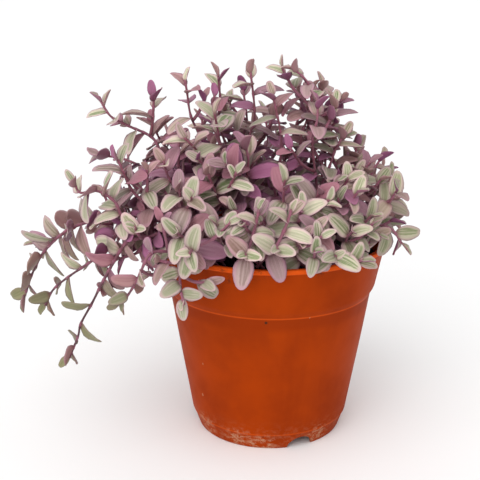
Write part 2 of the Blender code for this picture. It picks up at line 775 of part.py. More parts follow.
def main():
    clear_scene()
    shoots = grow_shoots()
    grow_leaves(shoots)
    build_pot(material("orange_plastic", ORANGE, 0.45))
    build_soil(material("potting_soil", SOIL_BROWN, 0.95), shoots)
    pale = material("pale_leaves", LEAF_PALE, 0.55)
    mauve = material("mauve_leaves", LEAF_MAUVE, 0.55)
    build_plant(shoots, pale, mauve)


main()
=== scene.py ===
"""The finished look of a potted turtle vine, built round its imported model.

The plant grows here by the same rules as in the model's source, in millimetres, so that each finer stem
and leaf lies where the solid one does. MM turns lengths into metres where a mesh is made.
"""

import math
import random

import bpy
import numpy as np
from bpy.props import FloatProperty, FloatVectorProperty, IntProperty, PointerProperty
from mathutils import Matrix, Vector
from mathutils.bvhtree import BVHTree


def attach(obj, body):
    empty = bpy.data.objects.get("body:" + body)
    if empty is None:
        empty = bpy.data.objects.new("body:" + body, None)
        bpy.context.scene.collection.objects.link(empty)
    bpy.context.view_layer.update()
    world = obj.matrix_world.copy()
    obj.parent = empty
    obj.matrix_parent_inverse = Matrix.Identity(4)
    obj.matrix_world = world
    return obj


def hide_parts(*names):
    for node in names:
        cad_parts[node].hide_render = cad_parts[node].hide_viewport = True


bl_info = {
    "name": "Potted turtle vine",
    "version": (1, 0, 0),
    "blender": (4, 5, 0),
    "location": "3D View > Sidebar > Plant",
    "description": "A nursery pot of turtle vine with its soil, stems and leaves",
    "category": "Object",
}

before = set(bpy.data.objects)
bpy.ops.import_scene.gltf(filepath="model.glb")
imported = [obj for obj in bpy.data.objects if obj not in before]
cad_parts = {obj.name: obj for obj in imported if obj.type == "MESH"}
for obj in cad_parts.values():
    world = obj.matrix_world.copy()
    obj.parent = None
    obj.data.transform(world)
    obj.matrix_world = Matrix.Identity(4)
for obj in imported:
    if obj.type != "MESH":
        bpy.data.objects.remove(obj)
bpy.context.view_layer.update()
BODY = "root"
MM = 0.001

# The pot: outer radii and the heights where they change
POT_HEIGHT = 108.0
LIP_RADIUS = 63.5
BAND_TOP_RADIUS = 61.8
BAND_TOP_Z = 105.2
BAND_FOOT_RADIUS = 57.2
BAND_FOOT_Z = 83.0
BODY_TOP_RADIUS = 55.0
BODY_TOP_Z = 79.5
BODY_FOOT_RADIUS = 43.2
BODY_FOOT_Z = 9.5
RING_TOP_RADIUS = 42.0
RING_TOP_Z = 7.0
FOOT_RADIUS = 39.6
WALL = 1.4
FLOOR_Z = 7.0
PAD_RADIUS = 15.0
PAD_DRAFT = 2.5
RING_DRAFT = 1.2
CORNER_DEPTH = 1.0
LIP_UNDER = 0.5
INNER_RISE = 0.6
POT_SIDES = 32
SOIL_SIDES = 16

# Water leaves through four holes in the floor and three notches in the foot ring
NOTCH_WIDTH = 14.4
NOTCH_HEIGHT = 6.4
NOTCH_AZIMUTHS = (-67.0, 53.0, 173.0)
DRAIN_RADIUS = 4.0
DRAIN_CIRCLE = 27.5
DRAIN_AZIMUTHS = (20.0, 110.0, 200.0, 290.0)
CUT_PAST = 2.0

# The soil, which stops short of the rim
SOIL_Z = 97.5
SOIL_RELIEF = 1.0
SEAT_GAP = 0.3
SOIL_DIP_SHARE = 0.4
SOIL_EDGE_SHARE = 0.75

# Stems. A rooted one is upright for BURIED below the soil's top and STRAIGHT above it.
STEM_SIDES = 4
STEM_RADIUS = 1.0
TIP_RADIUS = 0.7
BURIED = 12.0
STRAIGHT = 3.0
RING_SPACING = 18.5
LINE_STEP = 1.5
CURVE_STEPS = 16
BEND_SPACING = 18.0
WANDER = 0.085
ROOT_LIFT = 22.0
SIDE_LIFT = (4.0, 8.0)
STEM_TRIES = 90
TRY_SHIFT = 0.1
FREE_FROM = 0.5

# Where leaves stand: from the tip down, ever wider apart, and none near the foot, least so in the middle
TIP_LEAF = 1.2
FIRST_GAP = 2.4
GAP_GROWTH = 1.5
BARE_FOOT = 14.0
SIDE_BARE_FOOT = 7.0
SHADE_RADIUS = 50.0
SHADE_SHARE = 0.5

# How a leaf stands and bends, in degrees. A young one near the tip stands up, and an old one spreads.
LEAF_TURN = 142.0
TURN_START = (0.31, 0.52, 0.79)
GROWN_ORDER = 3.0
YOUNG_SPREAD = 24.0
MORE_SPREAD = 50.0
SPREAD_WANDER = 9.0
DROOP = 0.18
YOUNG_LENGTH = 0.55
LENGTH_RANGE = (0.88, 1.08)
ARCH_RANGE = (0.25, 0.75)
YOUNG_ARCH = 0.4
FOLD_RANGE = (10.0, 24.0)
YOUNG_FOLD = 16.0
LEAF_WIDTH_SHARE = 0.58
LEAF_THICKNESS = 1.1
CLEARANCE = 0.35
OWN_CLEARANCE = 0.1
FOOT_OUT = 0.4
LEVEL_SHARE = 0.35
ARCH_SHORTENS = 10
EGG_LEAN = 0.8
EGG_BLUNT = 0.65
LEAF_TRIES = 30
FIRST_TURN = (0, 6.28)
OWN_START = 0.2
TURN_WANDER = 0.12
TRY_TURN = 0.05
TRY_SHRINK = 0.012
SEED = 11
UP = np.array((0.0, 0.0, 1.0))
MOUND_HEART = np.array((-6.0, 0.0, 108.0))
LIGHT = np.array((-0.1, -0.55, 0.83))

# How much the upper sides of a group's leaves turn from the stem's tip outwards and to the light
LIGHT_SHARE = {"front": 1.0, "right": 0.8, "top": 0.35, "left": 0.75, "back": 0.6}
TIP_PULL_LOST = 0.5
OUTWARD_PULL = 0.6
LIGHT_PULL = 0.5
OLD_LIGHT_PULL = 0.3

# Each shoot: its name, where it stands in the soil (x, y) or the shoot and the share of its length that it
# branches from, the points that it passes through (x, y, z), the length of its oldest leaves, and their gap.
SHOOTS = (
    ("left_long", (-32, -30), ((-53, -43, 121), (-71, -50, 119), (-81, -50, 104), (-90, -50, 87),
     (-98, -50, 69), (-103, -50, 57)), 14, 11),
    ("left_near", (-26, -42), ((-49, -58, 116), (-59, -66, 117), (-65, -68, 106), (-70, -68, 97),
     (-75, -68, 92)), 12, 11),
    ("left_thin", (-40, -20), ((-61, -30, 121), (-77, -36, 120), (-91, -38, 105), (-104, -38, 96),
     (-112, -38, 89), (-116, -38, 81)), 15, 8.5),
    ("left_reach", (-46, -6), ((-64, -12, 121), (-84, -16, 124), (-107, -18, 115), (-119, -18, 104),
     (-126, -18, 92), (-131, -18, 79)), 17, 8),
    ("left_curl", (-34, -38), ((-60, -40, 117), (-72, -44, 126), (-79, -46, 139), (-87, -46, 143),
     (-94, -44, 144), (-98, -44, 149)), 15, 9),
    ("left_tall", (-30, -22), ((-60, -30, 116), (-64, -34, 130), (-69, -36, 142), (-76, -36, 153)), 18,
     9),
    ("left_crown", (-34, 8), ((-50, 8, 142), (-63, 4, 160), (-76, 2, 167), (-84, 0, 172),
     (-89, 0, 180)), 15, 9),
    ("left_high", (-28, 18), ((-48, 16, 142), (-59, 14, 156), (-64, 14, 167)), 16, 9),
    ("left_back", (-44, 16), ((-65, 22, 135), (-79, 26, 143), (-96, 28, 146)), 15, 8),
    ("left_sprig", ("left_reach", 0.2), ((-64, -2, 134), (-67, -4, 145)), 10, 8),
    ("left_low", (-48, 6), ((-68, 6, 116), (-94, 5, 116), (-113, 2, 107), (-126, 2, 102)), 16, 8),
    ("top_1", (-14, 6), ((-34, 4, 148), (-42, 2, 171), (-44, 0, 185), (-45, 0, 191)), 16, 9),
    ("top_2", (-6, 16), ((-25, 14, 157), (-27, 14, 178), (-28, 12, 192)), 16, 9),
    ("top_3", (2, 6), ((-11, 4, 159), (-9, 2, 178), (-11, 0, 195)), 16, 9),
    ("top_4", (16, 10), ((16, 6, 158), (21, 4, 179), (19, 2, 189), (11, 0, 197)), 14, 9),
    ("top_5", (8, -4), ((5, -8, 161), (2, -10, 177), (0, -10, 185)), 16, 9),
    ("top_6", ("top_4", 0.3), ((19, 17, 152), (18, 18, 181)), 14, 9),
    ("top_7", (28, 4), ((29, 2, 159), (32, 0, 173), (33, 0, 179)), 16, 9),
    ("top_8", (22, -8), ((21, -10, 159), (23, -12, 172), (23, -12, 181)), 16, 9),
    ("top_9", (32, -4), ((31, -4, 147), (34, -6, 157), (38, -6, 164)), 16, 9),
    ("top_10", (36, 10), ((40, 8, 136), (45, 8, 148), (46, 8, 155)), 16, 9),
    ("right_1", (38, -10), ((43, -10, 132), (47, -12, 144), (51, -12, 150)), 17, 7.5),
    ("right_2", (46, -4), ((52, -8, 129), (57, -10, 138), (61, -10, 142)), 17, 7.5),
    ("right_3", (46, -16), ((55, -18, 127), (63, -20, 133)), 17, 7.5),
    ("right_4", (42, -26), ((51, -28, 120), (60, -32, 120), (66, -32, 112)), 17, 7.5),
    ("right_5", (50, 6), ((58, 3, 117), (65, 1, 119)), 17, 7.5),
    ("front_1", (-24, -36), ((-42, -53, 120), (-46, -64, 127)), 18, 6.5),
    ("front_2", (-12, -36), ((-28, -48, 121), (-28, -58, 130)), 18, 6.5),
    ("front_3", ("front_1", 0.3), ((-39, -60, 114), (-42, -75, 122)), 18, 6),
    ("front_drip", ("front_1", 0.5), ((-47, -60, 113), (-48, -61, 102), (-43, -65, 95)), 14, 6),
    ("front_4", (-4, -48), ((-13, -61, 114), (-14, -76, 120)), 17, 6),
    ("front_5", (4, -40), ((-5, -51, 123), (-6, -58, 134)), 18, 6.5),
    ("front_6", ("front_4", 0.25), ((-2, -60, 116), (1, -73, 122)), 17, 6),
    ("front_7", (16, -42), ((11, -55, 116), (12, -65, 123)), 18, 6.5),
    ("front_8", (22, -34), ((19, -49, 120), (20, -58, 128)), 18, 6.5),
    ("front_9", (34, -34), ((36, -45, 118), (38, -54, 125)), 18, 6.5),
    ("front_10", ("front_7", 0.3), ((26, -58, 114), (29, -71, 118)), 17, 6),
    ("front_11", (6, -28), ((6, -39, 132), (5, -48, 149)), 18, 7),
    ("front_12", (16, -24), ((18, -37, 129), (22, -46, 142)), 18, 6.5),
    ("front_13", ("front_11", 0.4), ((12, -46, 127), (13, -55, 138)), 16, 6.5),
    ("front_14", (-26, -14), ((-44, -38, 131), (-46, -48, 145)), 18, 6.5),
    ("front_15", (-12, -24), ((-25, -33, 133), (-32, -42, 151)), 18, 7),
    ("front_16", (-4, -12), ((-23, -20, 146), (-29, -27, 178)), 18, 7),
    ("front_17", (28, -22), ((31, -32, 134), (37, -37, 147)), 18, 6.5),
    ("front_18", ("front_17", 0.35), ((42, -38, 122), (48, -47, 131)), 16, 6.5),
    ("front_19", (0, -4), ((-12, -23, 143), (-14, -29, 163)), 18, 7),
    ("front_20", (-14, -8), ((-34, -19, 146), (-44, -29, 166)), 18, 7),
    ("front_21", (-20, -18), ((-45, -28, 134), (-54, -37, 156)), 18, 7),
)

# The stems of the back half stand and lean by a rule, in rows from the middle outwards: the row's radius
# in the soil, its number of stems, its first and last azimuth, its tips' reach and height, and the gap.
BACK_ROWS = (
    (24, 4, 40, 150, 36, 180, 14),
    (36, 5, 15, 165, 58, 160, 14),
    (50, 7, 20, 172, 77, 128, 11),
)
BACK_LEAF = 16
BACK_HEIGHT_WANDER = (-9, 7)
BACK_AZIMUTH_WANDER = (-5, 5)
BACK_ROOT_WANDER = (-3, 3)
BACK_REACH_WANDER = (-5, 6)
BACK_TIP_WANDER = (-9, 9)
BACK_BEND = 0.55
BACK_BEND_HEIGHT = (0.62, 0.72)


def unit(v):
    return v / np.linalg.norm(v)


def at_radius(radius, azimuth, z=0.0):
    """The point at that radius and azimuth, in degrees from +X."""
    a = math.radians(azimuth)
    return np.array((radius * math.cos(a), radius * math.sin(a), z))


def unit_rows(rows):
    return rows / np.linalg.norm(rows, axis=1)[:, None]


def distances(line):
    """How far along the line each of its points is."""
    return np.concatenate(((0,), np.cumsum(np.linalg.norm(np.diff(line, axis=0), axis=1))))


def points_at(places, along, line):
    """The line's points at those distances, or its one point at a single distance."""
    return np.stack([np.interp(places, along, column) for column in line.T], axis=-1)


# The centre lines of the stems


def smooth_line(points, lift):
    """A Catmull-Rom curve through the points, evenly resampled. It starts out along lift."""
    p = np.asarray(points, float)
    p = np.vstack((p[0] - lift, p, 2 * p[-1] - p[-2]))
    t = np.linspace(0, 1, CURVE_STEPS, endpoint=False)[:, None]
    runs = []
    for a, b, c, d in zip(p[:-3], p[1:-2], p[2:-1], p[3:]):
        square = 2 * a - 5 * b + 4 * c - d
        cube = 3 * b - a - 3 * c + d
        runs.append(b + 0.5 * ((c - a) * t + square * t**2 + cube * t**3))
    line = np.vstack((*runs, p[-2]))
    along = distances(line)
    places = np.linspace(0, along[-1], max(3, round(along[-1] / LINE_STEP) + 1))
    return points_at(places, along, line)


def back_shoots():
    """The rows of the back half, as SHOOTS has them."""
    draw = random.Random(SEED)
    made = []
    for radius, count, first, last, reach, height, gap in BACK_ROWS:
        for k in range(count):
            azimuth = first + (last - first) * k / (count - 1) + draw.uniform(*BACK_AZIMUTH_WANDER)
            root = at_radius(radius + draw.uniform(*BACK_ROOT_WANDER), azimuth)
            top = height + draw.uniform(*BACK_HEIGHT_WANDER)
            far = reach + draw.uniform(*BACK_REACH_WANDER)
            tip = at_radius(far, azimuth + draw.uniform(*BACK_TIP_WANDER), top)
            middle = root + (tip - root) * BACK_BEND
            middle[2] = SOIL_Z + (top - SOIL_Z) * draw.uniform(*BACK_BEND_HEIGHT)
            way = (tuple(middle), tuple(tip))
            made.append((f"back_{len(made) + 1}", (root[0], root[1]), way, BACK_LEAF, gap))
    return made


def apart(a, b):
    """The least distance between two runs of points."""
    return math.sqrt(((a[:, None] - b[None]) ** 2).sum(axis=2).min())


def radius_at(z, wall):
    """The radius at a height of a wall that is given from the foot up."""
    radii, heights = np.array(wall).T
    return np.interp(z, heights, radii)


def inner_radius(z):
    """The pot's inner radius at a height."""
    return radius_at(z, inner_wall()[::-1])


def in_pot(points, margin):
    """Whether any of the points lies in the pot, the soil or the floor, or within the margin of them."""
    r = np.hypot(points[:, 0], points[:, 1])
    z = points[:, 2]
    inner, outer = inner_radius(z), radius_at(z, outer_wall())
    by_wall = (r < outer + margin) & (r > inner - margin) & (z < POT_HEIGHT + margin)
    under_soil = (r <= inner) & (z < SOIL_Z + SOIL_RELIEF + margin)
    return bool((by_wall | under_soil | (z < 2 * margin)).any())


class Shoot:
    """One shoot: the node that it belongs to, its centre line, and its leaves."""

    def __init__(self, node, line, leaf, gap, rooted):
        self.node = node
        self.line = line
        self.leaf = leaf
        self.gap = gap
        self.rooted = rooted
        self.leaves = []
        self.along = distances(line)
        self.length = self.along[-1]
        self.rings = np.linspace(0, self.length, max(2, round(self.length / RING_SPACING)) + 1)
        self.ends = self.at(self.rings)
        self.stretch = self.chord(np.arange(0, self.length, LINE_STEP))

    def at(self, s):
        """The point of the smooth line at that distance from the foot."""
        return points_at(s, self.along, self.line)

    def chord(self, s):
        """The point of the stem's straight stretches there."""
        return points_at(s, self.rings, self.ends)

    def heading(self, s):
        """The unit direction of growth there."""
        return unit(self.at(min(s + LINE_STEP, self.length)) - self.at(max(s - LINE_STEP, 0)))

    def radius(self, s):
        return STEM_RADIUS + (TIP_RADIUS - STEM_RADIUS) * s / self.length


def with_bends(points, draw):
    """The points, with one more between each two that lie far apart, a little off the straight line."""
    made = [points[0]]
    for a, b in zip(points, points[1:]):
        gap = np.linalg.norm(b - a)
        if gap > BEND_SPACING:
            made.append((a + b) / 2 + [draw.gauss(0, WANDER * gap) for _ in range(3)])
        made.append(b)
    return made


def grow_shoot(row, node, start, lift, others, draw):
    """The row's shoot from start, its way points moved until it is clear of the others and the pot."""
    name, foot, way, leaf, gap = row
    for attempt in range(STEM_TRIES):
        shift = attempt * TRY_SHIFT
        moved = [np.array(p, float) + [draw.gauss(0, shift) for _ in range(3)] for p in way]
        line = smooth_line(with_bends([start, *moved], draw), lift)
        shoot = Shoot(node, line, leaf, gap, not isinstance(foot[0], str))
        free = shoot.stretch[shoot.stretch[:, 2] > SOIL_Z + STRAIGHT + FREE_FROM]
        if in_pot(free, STEM_RADIUS + CLEARANCE):
            continue
        if all(apart(free, other.stretch) > 2 * STEM_RADIUS + 2 * CLEARANCE for other in others):
            return shoot
    raise RuntimeError(f"shoot {name} finds no clear way")


def grow_shoots():
    """Every shoot, with no leaves yet."""
    draw = random.Random(SEED)
    shoots, by_name = [], {}
    for row in (*SHOOTS, *back_shoots()):
        name, foot, way = row[:3]
        if isinstance(foot[0], str):
            parent = by_name[foot[0]]
            place = parent.length * foot[1]
            start = parent.chord(place)
            on, away = SIDE_LIFT
            lift = on * parent.heading(place) + away * unit(np.array(way[0]) - start)
            others = [s for s in shoots if s.node != parent.node]
            shoot = grow_shoot(row, parent.node, start, lift, others, draw)
        else:
            start = np.array((*foot, SOIL_Z + STRAIGHT))
            shoot = grow_shoot(row, name, start, ROOT_LIFT * UP, shoots, draw)
        shoots.append(shoot)
        by_name[name] = shoot
    return shoots


# Leaves


class Leaf:
    """A blade: its foot, the way it points, its upper side's normal, its length and its bends."""

    def __init__(self, foot, along, normal, length, arch, fold):
        self.foot = foot
        self.along = along
        self.normal = normal
        self.side = np.cross(normal, along)
        self.arch = arch
        self.fold = fold
        self.resize(length)

    def resize(self, length):
        self.length = length
        self.width = length * LEAF_WIDTH_SHARE

    def point(self, u, v):
        """The point of the middle surface at share u of the length and v, from -1 to 1, of the half width.

        The midrib rises from the stem and bends down by the arch. The halves rise from it by the fold.
        """
        reach = self.length * u * (1 - self.arch**2 * u * u / ARCH_SHORTENS)
        rise = -0.5 * self.length * u * (self.arch * (u - LEVEL_SHARE))
        half = 0.5 * self.width * outline(u)
        across = half * v * math.cos(self.fold)
        lift = half * abs(v) * math.sin(self.fold)
        return self.foot + self.along * reach + self.normal * (rise + lift) + self.side * across


def outline(u):
    """The blade's half width at u, as a share of its widest: an egg shape, widest at two fifths."""
    return max(0.0, math.sin(math.pi * u**EGG_LEAN)) ** EGG_BLUNT


BLADE_STATIONS = (0.24, 0.7)
RIDGE_STATION = 0.45
FOOT_SUNK = 0.2
RIM_POINTS = 6
BLADE_FACES = [(i, (i + 1) % RIM_POINTS, RIM_POINTS) for i in range(RIM_POINTS)]
BLADE_FACES += [(j, i, RIM_POINTS + 1) for i, j, _ in BLADE_FACES]


def blade(leaf, swell=0.0, start=0.0):
    """The blade as a closed solid: a rim of six points, its foot sunk in, and a point above and below."""
    near, far = BLADE_STATIONS
    foot = leaf.point(start, 0) - leaf.along * (FOOT_SUNK if start == 0 else 0)
    round_it = ((near, 1), (far, 1), (1.0, 0), (far, -1), (near, -1))
    rim = [foot, *(leaf.point(u, v) for u, v in round_it)]
    middle = leaf.point(RIDGE_STATION, 0)
    out = swell / (0.5 * leaf.width)
    rim = [p + (p - middle) * out for p in rim]
    rise = leaf.normal * (LEAF_THICKNESS / 2 + swell)
    return np.array([*rim, middle + rise, middle - rise])


# The rings of a stem start from the direction that is square to its first heading and to RING_START
RING_START = (0.0, 0.37, 0.11)
RING_TURN = 0.785


def tree(points, faces):
    return BVHTree.FromPolygons([tuple(p) for p in points], faces)


def stem_rings(shoot):
    """The corners of the solid stem, ring by ring, each turned as little as possible from the last."""
    line, radii = shoot.ends, shoot.radius(shoot.rings)
    if shoot.rooted:
        line = np.vstack((line[0] - (0, 0, BURIED + STRAIGHT), line))
        radii = (STEM_RADIUS, *radii)
    heading = unit_rows(np.gradient(line, axis=0))
    side = np.cross(heading[0], RING_START)
    angles = RING_TURN + 2 * np.pi * np.arange(STEM_SIDES) / STEM_SIDES
    rings = []
    for p, h, r in zip(line, heading, radii):
        side = unit(side - h * (side @ h))
        up = np.cross(h, side)
        rings.append(p + r * (np.outer(np.cos(angles), side) + np.outer(np.sin(angles), up)))
    return rings


def leaf_places(shoot):
    """Distances from the tip at which leaves stand, wider apart down to the shoot's full gap."""
    shaded = max(0.0, SHADE_RADIUS - np.linalg.norm(shoot.line[0][:2])) * SHADE_SHARE
    bare = BARE_FOOT + shaded if shoot.rooted else SIDE_BARE_FOOT
    places, step = [TIP_LEAF], FIRST_GAP
    while places[-1] + step < shoot.length - bare:
        places.append(places[-1] + step)
        step = min(shoot.gap, step * GAP_GROWTH)
    return places


def leaf_at(shoot, s, order, turn, draw):
    """A leaf on the shoot at s. Young ones near the tip are small and upright, old ones spread and bend."""
    heading = shoot.heading(s)
    side = unit(np.cross(heading, TURN_START))
    up = np.cross(heading, side)
    radial = side * math.cos(turn) + up * math.sin(turn)
    age = min(1.0, order / GROWN_ORDER)
    spread = math.radians(YOUNG_SPREAD + MORE_SPREAD * age + draw.uniform(-SPREAD_WANDER, SPREAD_WANDER))
    along = heading * math.cos(spread) + radial * math.sin(spread)
    along = unit(along - UP * DROOP * age)
    foot = shoot.chord(s) + along * FOOT_OUT * shoot.radius(s)
    lit = LIGHT_SHARE[group_of(shoot)]
    outwards = OUTWARD_PULL * unit(foot - MOUND_HEART) + (LIGHT_PULL + OLD_LIGHT_PULL * age) * LIGHT
    towards = (1 - TIP_PULL_LOST * lit) * heading + lit * outwards
    normal = unit(towards - along * (towards @ along))
    length = shoot.leaf * (YOUNG_LENGTH + (1 - YOUNG_LENGTH) * age) * draw.uniform(*LENGTH_RANGE)
    arch = draw.uniform(*ARCH_RANGE) * (YOUNG_ARCH + (1 - YOUNG_ARCH) * age)
    fold = math.radians(draw.uniform(*FOLD_RANGE) + YOUNG_FOLD * (1 - age))
    return Leaf(foot, along, normal, length, arch, fold)


class Grown:
    """What has grown so far, to test a new leaf against."""

    def __init__(self, shoots):
        self.centres, self.reach, self.nodes, self.trees = [], [], [], []
        for profile, sides, node in ((pot_profile(), POT_SIDES, "pot"), (soil_profile(), SOIL_SIDES, "soil")):
            skin = turned_skin(np.array(profile, float), sides)
            self.add(skin.points, [*skin.quads.tolist(), *skin.tris.tolist()], node)
        for shoot in shoots:
            self.add_stem(shoot)

    def add_stem(self, shoot):
        following = [(i, (i + 1) % STEM_SIDES) for i in range(STEM_SIDES)]
        sides = [(i, j, STEM_SIDES + j, STEM_SIDES + i) for i, j in following]
        rings = stem_rings(shoot)
        for low, high in zip(rings, rings[1:]):
            self.add(np.vstack((low, high)), sides, shoot.node)

    def add(self, points, faces, node):
        centre = points.mean(axis=0)
        self.centres.append(centre)
        self.reach.append(np.linalg.norm(points - centre, axis=1).max())
        self.nodes.append(node)
        self.trees.append(tree(points, faces))

    def meets(self, node, wide, bare):
        """Whether the blade, swollen to wide, meets another node, or its outer part, bare, its own node."""
        if in_pot(wide, CLEARANCE):
            return True
        centre = wide.mean(axis=0)
        reach = np.linalg.norm(wide - centre, axis=1).max()
        far = np.linalg.norm(np.array(self.centres) - centre, axis=1)
        wide_tree, bare_tree = tree(wide, BLADE_FACES), tree(bare, BLADE_FACES)
        near = np.nonzero(far < np.array(self.reach) + reach)[0]
        pairs = ((bare_tree if self.nodes[k] == node else wide_tree, self.trees[k]) for k in near)
        return any(mine.overlap(other) for mine, other in pairs)


def grow_leaves(shoots):
    """Leaves on every shoot, from the tips down. One that would cross another is turned and made less."""
    draw = random.Random(SEED + 1)
    grown = Grown(shoots)
    plans = [(shoot, leaf_places(shoot), draw.uniform(*FIRST_TURN)) for shoot in shoots]
    for order in range(max(len(places) for _, places, _ in plans)):
        for shoot, places, first in plans:
            if order < len(places):
                turn = first + order * math.radians(LEAF_TURN)
                add_leaf(shoot, places[order], order, turn, grown, draw)
    return grown


def add_leaf(shoot, place, order, turn, grown, draw):
    """A leaf at that distance from the shoot's tip, if one of the tries is clear."""
    for attempt in range(LEAF_TRIES):
        wander = draw.gauss(0, TURN_WANDER + TRY_TURN * attempt)
        leaf = leaf_at(shoot, shoot.length - place, order, turn + wander, draw)
        leaf.resize(leaf.length * (1 - TRY_SHRINK * attempt))
        outer = blade(leaf, OWN_CLEARANCE, OWN_START)
        if not grown.meets(shoot.node, blade(leaf, CLEARANCE), outer):
            leaf.place = shoot.length - place
            shoot.leaves.append(leaf)
            grown.add(blade(leaf), BLADE_FACES, shoot.node)
            return


def outer_wall():
    """The outside, from the foot ring up to the lip's top edge."""
    return (
        (FOOT_RADIUS, 0),
        (RING_TOP_RADIUS, RING_TOP_Z),
        (BODY_FOOT_RADIUS, BODY_FOOT_Z),
        (BODY_TOP_RADIUS, BODY_TOP_Z),
        (BAND_FOOT_RADIUS, BAND_FOOT_Z),
        (BAND_TOP_RADIUS, BAND_TOP_Z),
        (LIP_RADIUS, BAND_TOP_Z + LIP_UNDER),
        (LIP_RADIUS, POT_HEIGHT),
    )


def inner_wall():
    """The inside, from the lip's top edge down to the edge of the floor."""
    return (
        (BAND_TOP_RADIUS - WALL, POT_HEIGHT),
        (BAND_FOOT_RADIUS - WALL, BAND_FOOT_Z + INNER_RISE),
        (BODY_TOP_RADIUS - WALL, BODY_TOP_Z + INNER_RISE),
        (BODY_FOOT_RADIUS - WALL, BODY_FOOT_Z + INNER_RISE),
        (RING_TOP_RADIUS - WALL - CORNER_DEPTH, FLOOR_Z + WALL),
    )


def pot_profile():
    """From the underside's middle round the outside, over the lip and down to the floor's middle."""
    ring = FOOT_RADIUS - WALL
    well = PAD_RADIUS - WALL
    pad = ((0, 0), (PAD_RADIUS, 0), (PAD_RADIUS + PAD_DRAFT, FLOOR_Z))
    channel = ((ring - RING_DRAFT, FLOOR_Z), (ring, 0))
    floor = ((well + PAD_DRAFT, FLOOR_Z + WALL), (well, WALL), (0, WALL))
    return (*pad, *channel, *outer_wall(), *inner_wall(), *floor)


def soil_profile():
    """The pot's inside, a seat's gap smaller, up to the soil's surface."""
    gap = SEAT_GAP
    well = PAD_RADIUS - WALL - gap
    edge = float(inner_radius(SOIL_Z)) - gap
    wall = [(r - gap, z + gap) for r, z in inner_wall()[:0:-1]]
    dip = (SOIL_DIP_SHARE * edge, SOIL_Z - SOIL_RELIEF / 2)
    surface = ((edge, SOIL_Z - SOIL_RELIEF), (SOIL_EDGE_SHARE * edge, SOIL_Z), dip, (0, SOIL_Z))
    hub = ((0, WALL + gap), (well, WALL + gap), (well + PAD_DRAFT, FLOOR_Z + WALL + gap))
    return (*hub, *wall, *surface)


# Finer growth: low leaves, and short sprigs that fill the mound

SPRIG_SPACING = {"left": 45.0, "top": 31.0, "front": 19.0, "right": 45.0, "back": 18.0}
SPRIG_LENGTH = (12.0, 25.0)
SPRIG_LEAF = (13.0, 18.0)
SPRIG_GAP = 5.5
SPRIG_TRIES = 6
SPRIG_SPAN = (0.22, 0.8)
SPRIG_LIFT = 4.0

# The two stretches of a sprig: how much each leans out, along the stem and up, and its share of the length
SPRIG_STRETCHES = ((1.0, 0.45, 0.25, 0.5), (0.7, 0.4, 0.55, 0.55))
TRAIL_X = -62.0
TRAIL_Z = 100.0
FRONT_Y = -73.0
SIDE_X = (-92.0, 66.0)
LOW_GAP = 7.0
LOW_END = 7.0
BETWEEN_GAP = 7.2
BARE_PLACE = (-10.0, -50.0, 100.0)
BARE_SIZE = (24.0, 22.0, 20.0)


def group_of(shoot):
    return shoot.node.split("_")[0]


def sprig_from(shoot, draw):
    """A short side shoot from a random place of the shoot, which leans out from it and then turns upwards."""
    place = shoot.length * draw.uniform(*SPRIG_SPAN)
    heading = shoot.heading(place)
    away = np.array([draw.gauss(0, 1) for _ in range(3)])
    away = unit(away - heading * (away @ heading))
    length = draw.uniform(*SPRIG_LENGTH)
    points = [shoot.at(place)]
    for out, on, up, share in SPRIG_STRETCHES:
        points.append(points[-1] + unit(out * away + on * heading + up * UP) * share * length)
    line = smooth_line(points, SPRIG_LIFT * away)
    return Shoot(shoot.node, line, draw.uniform(*SPRIG_LEAF), SPRIG_GAP, False)


def is_free(sprig, rest):
    """True for a sprig off the ends that hang, no further out than the long stems, and clear of the rest."""
    low, high = sprig.line.min(axis=0), sprig.line.max(axis=0)
    if low[1] < FRONT_Y or low[0] < SIDE_X[0] or high[0] > SIDE_X[1]:
        return False
    if hangs(low) or is_bare(sprig.line[-1]) or in_pot(sprig.line, STEM_RADIUS):
        return False
    return all(apart(sprig.line, other.line) > 2 * STEM_RADIUS for other in rest)


def grow_sprigs(shoots):
    """Sprigs all over the mound."""
    draw = random.Random(SEED + 2)
    made = []
    for shoot in shoots:
        for _ in range(round(shoot.length / SPRIG_SPACING[group_of(shoot)])):
            for _ in range(SPRIG_TRIES):
                sprig = sprig_from(shoot, draw)
                if is_free(sprig, [s for s in (*shoots, *made) if s is not shoot]):
                    made.append(sprig)
                    break
    return made


def hangs(place):
    """True on the ends that trail over the left side."""
    return place[0] < TRAIL_X and place[2] < TRAIL_Z


def is_bare(place):
    """True in the gap at the front rim, where the soil shows."""
    return np.linalg.norm((place - BARE_PLACE) / BARE_SIZE) < 1


def low_places(shoot):
    """Distances from the tip of the leaves that stand below the last one of the solid stem."""
    lowest = shoot.length - min((leaf.place for leaf in shoot.leaves), default=0.0)
    places = np.arange(lowest + LOW_GAP, shoot.length - LOW_END, LOW_GAP)
    return [place for place in places if not is_bare(shoot.at(shoot.length - place))]


def between_places(shoot):
    """Distances from the tip, midway between two leaves that stand wide apart and don't hang."""
    places = sorted(shoot.length - leaf.place for leaf in shoot.leaves)
    middles = [(a + b) / 2 for a, b in zip(places, places[1:]) if b - a > BETWEEN_GAP]
    return [place for place in middles if not hangs(shoot.at(shoot.length - place))]


